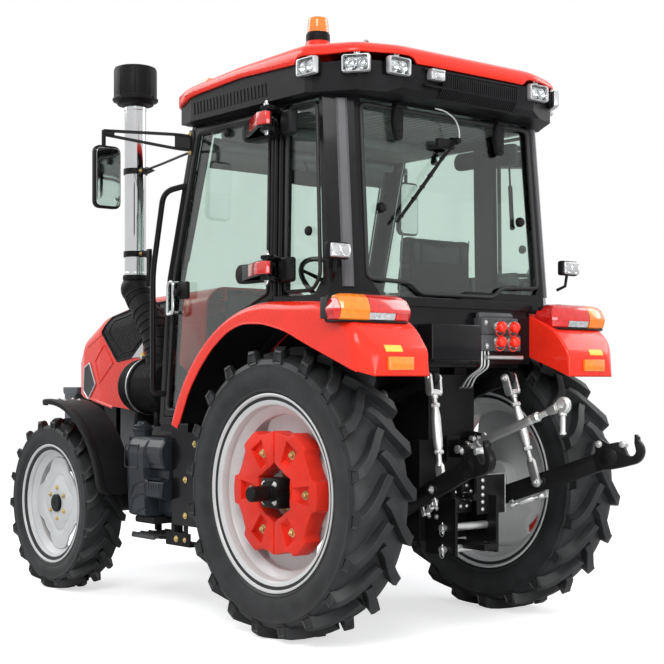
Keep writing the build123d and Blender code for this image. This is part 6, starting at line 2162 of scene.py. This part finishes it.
def evenLine(points, count):
    # the same line with its points at equal distances
    lengths = [0.0]
    for a, b in zip(points, points[1:]):
        lengths.append(lengths[-1] + (Vector(b) - Vector(a)).length)
    out = []
    for i in range(count + 1):
        want = lengths[-1] * i / count
        k = next(n for n in range(1, len(lengths)) if lengths[n] >= want - 1e-9)
        part = (want - lengths[k - 1]) / max(lengths[k] - lengths[k - 1], 1e-9)
        out.append(Vector(points[k - 1]).lerp(Vector(points[k]), part))
    return out


def fenderOuter(x):
    # half width, with the outer rear corner cut back and rounded
    f = fender
    cut = f["outer"] - 0.065 - 1.083 * (f["tail"] - x)
    blend = 0.012
    low = min(cut, f["outer"])
    return low - max(blend - abs(cut - f["outer"]), 0) ** 2 / (4 * blend)


fenderArc = [(fender["radius"] * cos(radians(a)), fender["axle"] + fender["radius"] * sin(radians(a)))
             for a in range(fender["start"], 87, 3)]
fenderTop = cornerSmooth(cornerSmooth(fenderArc + fenderTail[:-1], 0.075) + fenderTail[-1:], 0.016)


@bothSides("redPaint", covers=["rear_fenders"], angle=48)
def rearFender(bm, near=0.0, deepest=0.004, trim=1.0):
    # the shell between two depths below the outer surface; trim shortens its flanges
    f = fender
    top = evenLine(fenderTop, f["stations"])
    lip = evenLine(cornerSmooth(fenderLip, 0.05), f["stations"])
    rings = []
    for i in range(f["stations"] + 1):
        p, q = top[i], lip[i]
        along = (top[min(i + 1, f["stations"])] - top[max(i - 1, 0)]).normalized()
        out = Vector((along.y, -along.x))
        if out.dot(p - Vector((0, f["axle"]))) < 0:
            out = -out
        deep = (q - p).length
        edge, small = min(f["edge"], deep * 0.4), min(0.012, deep * 0.2)
        over, skin = min(near, deep * 0.08), min(deepest, deep * 0.16)

        def corner(inset, radius, inner):
            # points round one upper corner of the section; inner is its side
            pts = []
            for n in range(7):
                angle = pi / 2 * n / 6
                drop = radius * (1 - sin(angle)) if inner else radius * (1 - cos(angle))
                side = radius * (1 - cos(angle)) if inner else radius * (1 - sin(angle))
                at = p - out * (drop + inset)
                y = f["inner"] + inset + side if inner else fenderOuter(at.x) - inset - side
                pts.append(Vector((at.x, y, at.y)))
            return pts

        def flange(radius, inset, inner):
            pts = []
            begin = p - out * (radius + inset)
            for part in (trim, 0.75, 0.5, 0.25):
                at = begin.lerp(q, part)
                y = f["inner"] + inset if inner else fenderOuter(at.x) - inset
                pts.append(Vector((at.x, y, at.y)))
            return pts
        outside = flange(small, over, True) + corner(over, small, True) + corner(over, edge, False)
        outside += flange(edge, over, False)[::-1]
        inside = flange(small, skin, True) + corner(skin, small, True) + corner(skin, edge, False)
        inside += flange(edge, skin, False)[::-1]
        rings.append(outside + inside[::-1])
    addSolid(bm, rings)


@bothSides("blackPlastic", angle=48)
def fenderLiner(bm):
    rearFender(bm, 0.0045, 0.01, 0.9)


@bothSides("redPaint")
def rearFenderBead(bm):
    # rolled lower edge of the outer flange
    lip = evenLine(cornerSmooth(fenderLip, 0.05), 60)
    addTube(bm, [(p.x, fenderOuter(p.x) - 0.003, p.y) for p in lip[1:-2]], 0.0045, 10)


@bothSides("yellowPatch")
def fenderStickers(bm):
    # blank patch that follows the slope of the tail
    rings = []
    slope = [p for p in evenLine(fenderTop, 300) if 1.296 < p.y < 1.334 and p.x < -0.5]
    for near, far in zip(slope, slope[1:]):
        out = Vector((near.y - far.y, -(near.x - far.x))).normalized()
        out = -out if out.x > 0 else out
        low, high = near - out * 0.001, near + out * 0.0016
        rings.append([(low.x, 0.615, low.y), (low.x, 0.712, low.y), (high.x, 0.712, high.y),
                      (high.x, 0.615, high.y)])
    addSolid(bm, rings)


print("rear fenders made")

# seat: cushions swollen by the cloth simulation, with seams pressed in afterwards
seatPlan = {"cell": 0.0085, "cap": 0.012, "frames": 20}


def swollenPad(name, corners, depth, seams):
    # corners: the pad's side view; seams: lines (axis, place) that are pressed in
    bm = bmesh.new()
    addPrism(bm, corners, "y", -depth, depth, 0.022, 3)
    pad = meshObject(name, bm, False)
    pad.data.materials.append(finish["seatCover"])
    remesh = pad.modifiers.new("even cells", "REMESH")
    remesh.mode, remesh.voxel_size = "VOXEL", seatPlan["cell"]
    flatten(pad)
    start = [v.co.copy() for v in pad.data.vertices]
    cloth = pad.modifiers.new("swell", "CLOTH")
    cloth.settings.use_pressure = True
    cloth.settings.uniform_pressure_force = 4
    cloth.settings.effector_weights.gravity = 0
    cloth.settings.quality = 4
    for step in range(1, seatPlan["frames"] + 1):
        bpy.context.scene.frame_set(step)
    flatten(pad)
    bpy.context.scene.frame_set(1)
    points = [v.co.copy() for v in pad.data.vertices]
    for v, before, now in zip(pad.data.vertices, start, points):
        move = now - before
        if move.length > seatPlan["cap"]:
            move *= seatPlan["cap"] / move.length
        v.co = before + move
    normals = [v.normal.copy() for v in pad.data.vertices]
    for v, normal in zip(pad.data.vertices, normals):
        place = v.co - Vector((axleX, 0, 0))
        press = 0
        for axis, at, wide in seams:
            away = abs((abs(place.y) if axis == "y" else place.x if axis == "x" else place.z) - at)
            press = max(press, exp(-(away / wide) ** 2))
        v.co -= normal * 0.008 * press
    for polygon in pad.data.polygons:
        polygon.use_smooth = True
    finer = pad.modifiers.new("finer", "SUBSURF")
    finer.levels = finer.render_levels = 1
    flatten(pad)
    for polygon in pad.data.polygons:
        polygon.use_smooth = True
    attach(pad, "chassis")
    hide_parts("seat")
    return pad


def flatten(thing):
    # what the modifiers give becomes the mesh itself
    graph = bpy.context.evaluated_depsgraph_get()
    done = bpy.data.meshes.new_from_object(thing.evaluated_get(graph))
    old = thing.data
    thing.modifiers.clear()
    thing.data = done
    bpy.data.meshes.remove(old)


swollenPad("seatCushion", [(-0.195, 1.392), (0.236, 1.392), (0.236, 1.462), (-0.195, 1.47)], 0.222,
           [("y", 0.135, 0.008), ("x", 0.12, 0.008), ("x", -0.02, 0.008)])
swollenPad("seatBack", [(-0.232, 1.49), (-0.138, 1.49), (-0.178, 1.868), (-0.25, 1.868)], 0.214,
           [("y", 0.13, 0.008), ("z", 1.6, 0.008), ("z", 1.73, 0.008)])


@onePiece("seatGrey", slot="seat_fabric")
def seatPiping(bm):
    for y in (0.2, -0.2):
        addTube(bm, smoothPath([(-0.19, y * 1.13, 1.434), (0.243, y * 1.13, 1.43)], 0.01), 0.004, 8)
        addTube(bm, smoothPath([(-0.19, y * 1.1, 1.5), (-0.222, y * 1.1, 1.866)], 0.01), 0.004, 8)
    addTube(bm, smoothPath([(0.243, -0.226, 1.43), (0.243, 0.226, 1.43)], 0.01), 0.004, 8)


@onePiece("blackPlastic")
def seatBase(bm):
    addBox(bm, (-0.215, -0.215, 1.366), (0.245, 0.215, 1.392), 0.008)
    addBox(bm, (-0.255, -0.19, 1.48), (-0.236, 0.19, 1.85), 0.006)
    for y in (-0.226, 0.214):
        addPrism(bm, [(-0.24, 1.38), (-0.15, 1.38), (-0.17, 1.56), (-0.225, 1.56)], "y", y, y + 0.012, 0.003)


print("seat made")

# console and steering wheel
steering = {"base": (0.76, 0, 1.5), "tip": (0.56, 0, 1.68), "radius": 0.186, "grip": 0.0135}


@onePiece("blackPlastic", covers=["console"])
def dashConsole(bm):
    low = cadBoxOf("console")[0].z
    addPrism(bm, [(0.76, low), (1.02, low), (0.925, 1.56), (0.8, 1.6), (0.74, 1.5)], "y",
             -0.17, 0.17, 0.022, 4)
    addPrism(bm, [(0.765, 1.515), (0.8, 1.585), (0.905, 1.552), (0.905, 1.52)], "y", -0.178, 0.178, 0.008, 3)
    base, tip = Vector(steering["base"]), Vector(steering["tip"])
    length = (tip - base).length
    addSpindle(bm, base, tip, [(-0.02, 0.044), (0.05, 0.04), (0.07, 0.03), (length, 0.026)], 28)
    for k in (1, -1):
        addTube(bm, [(0.69, k * 0.03, 1.575), (0.66, k * 0.12, 1.6), (0.655, k * 0.15, 1.605)], 0.005, 10)
        addSpindle(bm, (0.656, k * 0.145, 1.604), (0.65, k * 0.18, 1.612),
                   [(0, 0.008), (0.005, 0.012), (0.03, 0.011), (0.036, 0.006)], 14)


@onePiece("rubberSeal", covers=["console"])
def steeringWheel(bm):
    base, tip = Vector(steering["base"]), Vector(steering["tip"])
    axis = (tip - base).normalized()
    side, up = Vector((0, 1, 0)), axis.cross(Vector((0, 1, 0)))
    centre = tip + axis * 0.012

    def at(radius, angle, lift=0):
        return centre + side * radius * cos(angle) + up * radius * sin(angle) + axis * lift
    rings = []
    for a in turn(64):
        ring = []
        for b in turn(14):
            swell = steering["grip"] + 0.0008 * cos(24 * a)
            ring.append(at(steering["radius"] + swell * cos(b), a, swell * sin(b)))
        rings.append(ring)
    rings.append(rings[0])
    addRings(bm, rings, caps=False)
    bmesh.ops.remove_doubles(bm, verts=bm.verts, dist=1e-6)
    for a in (radians(90), radians(210), radians(330)):
        addTube(bm, [at(0.03, a, -0.006), at(0.11, a, -0.002), at(steering["radius"], a, 0)], 0.009, 10,
                [0.014, 0.01, 0.008])
    addSpindle(bm, centre - axis * 0.026, centre + axis,
               [(0, 0.03), (0.004, 0.044), (0.026, 0.046), (0.034, 0.038), (0.037, 0.02)], 32)


@onePiece("silverTrim")
def dialRims(bm):
    face = Vector((-0.89, 0, 0.45)).normalized()
    for y, r in ((-0.095, 0.034), (0, 0.044), (0.095, 0.034)):
        centre = Vector((0.776, y, 1.548))
        addSpindle(bm, centre, centre + face, [(-0.01, r), (0.01, r), (0.012, r - 0.003),
                                               (0.008, r - 0.005)], 32)


print("console made")

# roof shell: crowned, with its lower edge lifted over the rear lamps
roofForm = {"rim": 2.6, "middleX": 0.245, "front": 0.96, "rear": -0.47, "half": 0.79}
roofSideLine = [(-0.5, 1.0), (-0.1, 1.0), (0.35, 0.87), (0.76, 0.52), (0.905, 0.1), (0.98, -0.1)]
roofLowLine = [(-0.5, 0.012), (-0.25, 0.0), (0.3, 0.014), (0.7, -0.008), (0.905, -0.045), (0.985, -0.058)]
roofCrown = [(0, 0.04), (0.005, 0.06), (0.018, 0.076), (0.04, 0.089), (0.08, 0.098), (0.16, 0.104),
             (0.3, 0.107), (0.52, 0.109)]


def roofOutline():
    r = roofForm
    left = [(r["front"], 0.63), (r["front"] - 0.09, 0.76), (r["front"] - 0.22, r["half"]), (-0.2, r["half"]),
            (-0.225, 0.768), (-0.4, 0.65), (r["rear"], 0.45)]
    right = [(x, -y) for x, y in reversed(left)]
    ring = left + right
    smooth = cornerSmooth([((ring[0][0] + ring[-1][0]) / 2, 0)] + ring
                          + [((ring[0][0] + ring[-1][0]) / 2, 0)], 0.045, 5)
    return [tuple(p) for p in evenLine(smooth, 220)[:-1]]


def softStep(x, low, high):
    t = min(max((x - low) / (high - low), 0), 1)
    return t * t * (3 - 2 * t)


def roofLow(x, y):
    lift = 0.03 * (1 - softStep(x, -0.155, -0.125)) * softStep(abs(y), 0.355, 0.385)
    return roofForm["rim"] + linePoint(roofLowLine, x) + lift


@onePiece("redPaint", covers=["roof"], angle=40)
def roofShell(bm):
    r = roofForm
    plan = roofOutline()

    def place(x, y, inset):
        share = 1 - inset / r["half"]
        return r["middleX"] + (x - r["middleX"]) * (1 - inset / 0.72), y * share
    rings = [[Vector((*place(x, y, 0.03), roofLow(x, y) + 0.034)) for x, y in plan],
             [Vector((*place(x, y, 0.02), roofLow(x, y) + 0.001)) for x, y in plan],
             [Vector((*place(x, y, 0.004), roofLow(x, y))) for x, y in plan],
             [Vector((*place(x, y, 0), roofLow(x, y) + 0.005)) for x, y in plan]]
    for inset, rise in roofCrown:
        ring = []
        for x, y in plan:
            px, py = place(x, y, inset)
            low = roofLow(x, y)
            top = r["rim"] + rise * linePoint(roofSideLine, px)
            ring.append(Vector((px, py, max(top, low + 0.012 + inset * 0.1))))
        rings.append(ring)
    made, faces = addRings(bm, rings, caps=False)
    faces.append(bm.faces.new(made[-1]))
    bmesh.ops.recalc_face_normals(bm, faces=faces)


@bothSides("redPaint")
def roofCrease(bm):
    # pressed line along each side of the shell
    points = []
    for n in range(31):
        x = -0.1 + 0.86 * n / 30
        points.append((x, 0.7902 - 0.0015, roofForm["rim"] + linePoint(roofLowLine, x) + 0.018))
    addTube(bm, points, 0.0028, 8)


print("roof shell made")

# CAD pieces that stay as they are get their finish here
nodeFinish = {"red_paint": "redPaint", "weight_red": "weightPaint", "rim_white": "rimPaint",
              "tyre": "tyreRubber", "cab_black": "cabGloss", "black_plastic": "blackPlastic",
              "tank_plastic": "tankPlastic", "black_steel": "blackSteel", "glass": "cabGlass",
              "chrome": "chromePlate", "zinc_steel": "zincPlate", "cast_grey": "castGrey",
              "weight_grey": "weightGrey", "seat_fabric": "seatCover", "lamp_body": "silverTrim"}
for part in frame["record"]["subparts"]:
    mesh = nodes[part["node"]].data
    mesh.materials.clear()
    mesh.materials.append(finish[nodeFinish[part["material_slot"]]])

# floor, light and camera
studio = {"floor": (0.8, 0.8, 0.8), "glow": 0.62, "world": 0.52, "key": 430, "fill": 150, "front": 240,
          "rear": 110}


def showWhite(tree):
    # the camera, gloss and glass see plain white; diffuse light keeps the dimmer world
    path = tree.nodes.new("ShaderNodeLightPath")
    seen = path.outputs["Is Camera Ray"]
    for ray in ("Is Glossy Ray", "Is Transmission Ray"):
        either = tree.nodes.new("ShaderNodeMath")
        either.operation = "MAXIMUM"
        tree.links.new(seen, either.inputs[0])
        tree.links.new(path.outputs[ray], either.inputs[1])
        seen = either.outputs["Value"]
    return seen


world = bpy.data.worlds.new("studioLight")
bpy.context.scene.world = world
world.use_nodes = True
tree = world.node_tree
dim = tree.nodes["Background"]
dim.inputs["Color"].default_value = (0.93, 0.95, 1.0, 1)
dim.inputs["Strength"].default_value = studio["world"]
white = tree.nodes.new("ShaderNodeBackground")
white.inputs["Color"].default_value = (1, 1, 1, 1)
white.inputs["Strength"].default_value = 1
mix = tree.nodes.new("ShaderNodeMixShader")
tree.links.new(showWhite(tree), mix.inputs["Fac"])
tree.links.new(dim.outputs["Background"], mix.inputs[1])
tree.links.new(white.outputs["Background"], mix.inputs[2])
tree.links.new(mix.outputs["Shader"], tree.nodes["World Output"].inputs["Surface"])

floorMesh = bpy.data.meshes.new("studioFloor")
floorMesh.from_pydata([(-40, -40, 0), (40, -40, 0), (40, 40, 0), (-40, 40, 0)], [], [(0, 1, 2, 3)])
studioFloor = newObject("studioFloor", floorMesh)
floorFinish = bpy.data.materials.new("paleFloor")
floorFinish.use_nodes = True
tree = floorFinish.node_tree
floorShader = tree.nodes["Principled BSDF"]
floorShader.inputs["Base Color"].default_value = (*studio["floor"], 1)
floorShader.inputs["Roughness"].default_value = 0.9
floorShader.inputs["Specular IOR Level"].default_value = 0
floorShader.inputs["Emission Color"].default_value = (1, 1, 1, 1)
# the camera sees the floor as pale as the background, apart from the shadow
glow = tree.nodes.new("ShaderNodeMath")
glow.operation = "MULTIPLY"
glow.inputs[1].default_value = studio["glow"]
tree.links.new(tree.nodes.new("ShaderNodeLightPath").outputs["Is Camera Ray"], glow.inputs[0])
tree.links.new(glow.outputs["Value"], floorShader.inputs["Emission Strength"])
floorMesh.materials.append(floorFinish)


def softLight(name, at, towards, size, power, colour=(1, 1, 1)):
    light = bpy.data.lights.new(name, "AREA")
    light.energy, light.size, light.color = power, size, colour
    lamp = newObject(name, light)
    lamp.location = at
    lamp.rotation_euler = (Vector(towards) - Vector(at)).to_track_quat("-Z", "Y").to_euler()


softLight("keyLight", (-5.5, 5.5, 6.5), (0, 0, 1.2), 4.0, studio["key"], (1, 0.99, 0.97))
softLight("fillLight", (-2.5, -7.5, 5.5), (-0.5, 0, 1.0), 4.0, studio["fill"])
softLight("rearLight", (-6.2, 0.6, 1.3), (0, -0.4, 0.8), 2.5, studio["rear"])
softLight("frontLight", (6.0, 3.5, 6.0), (0, 0, 1.2), 4.5, studio["front"])

cameraLens = bpy.data.cameras.new("camera")
cameraLens.lens, cameraLens.sensor_width = 75.06, 36
cameraLens.shift_y = 0.0734
camera = newObject("camera", cameraLens)
camera.location = (axleX - 5.031, 4.624, 1.181)
camera.rotation_euler = (pi / 2, 0, radians(-39.59 - 90))
bpy.context.scene.camera = camera
bpy.context.scene.view_settings.view_transform = "Standard"
print("studio made")
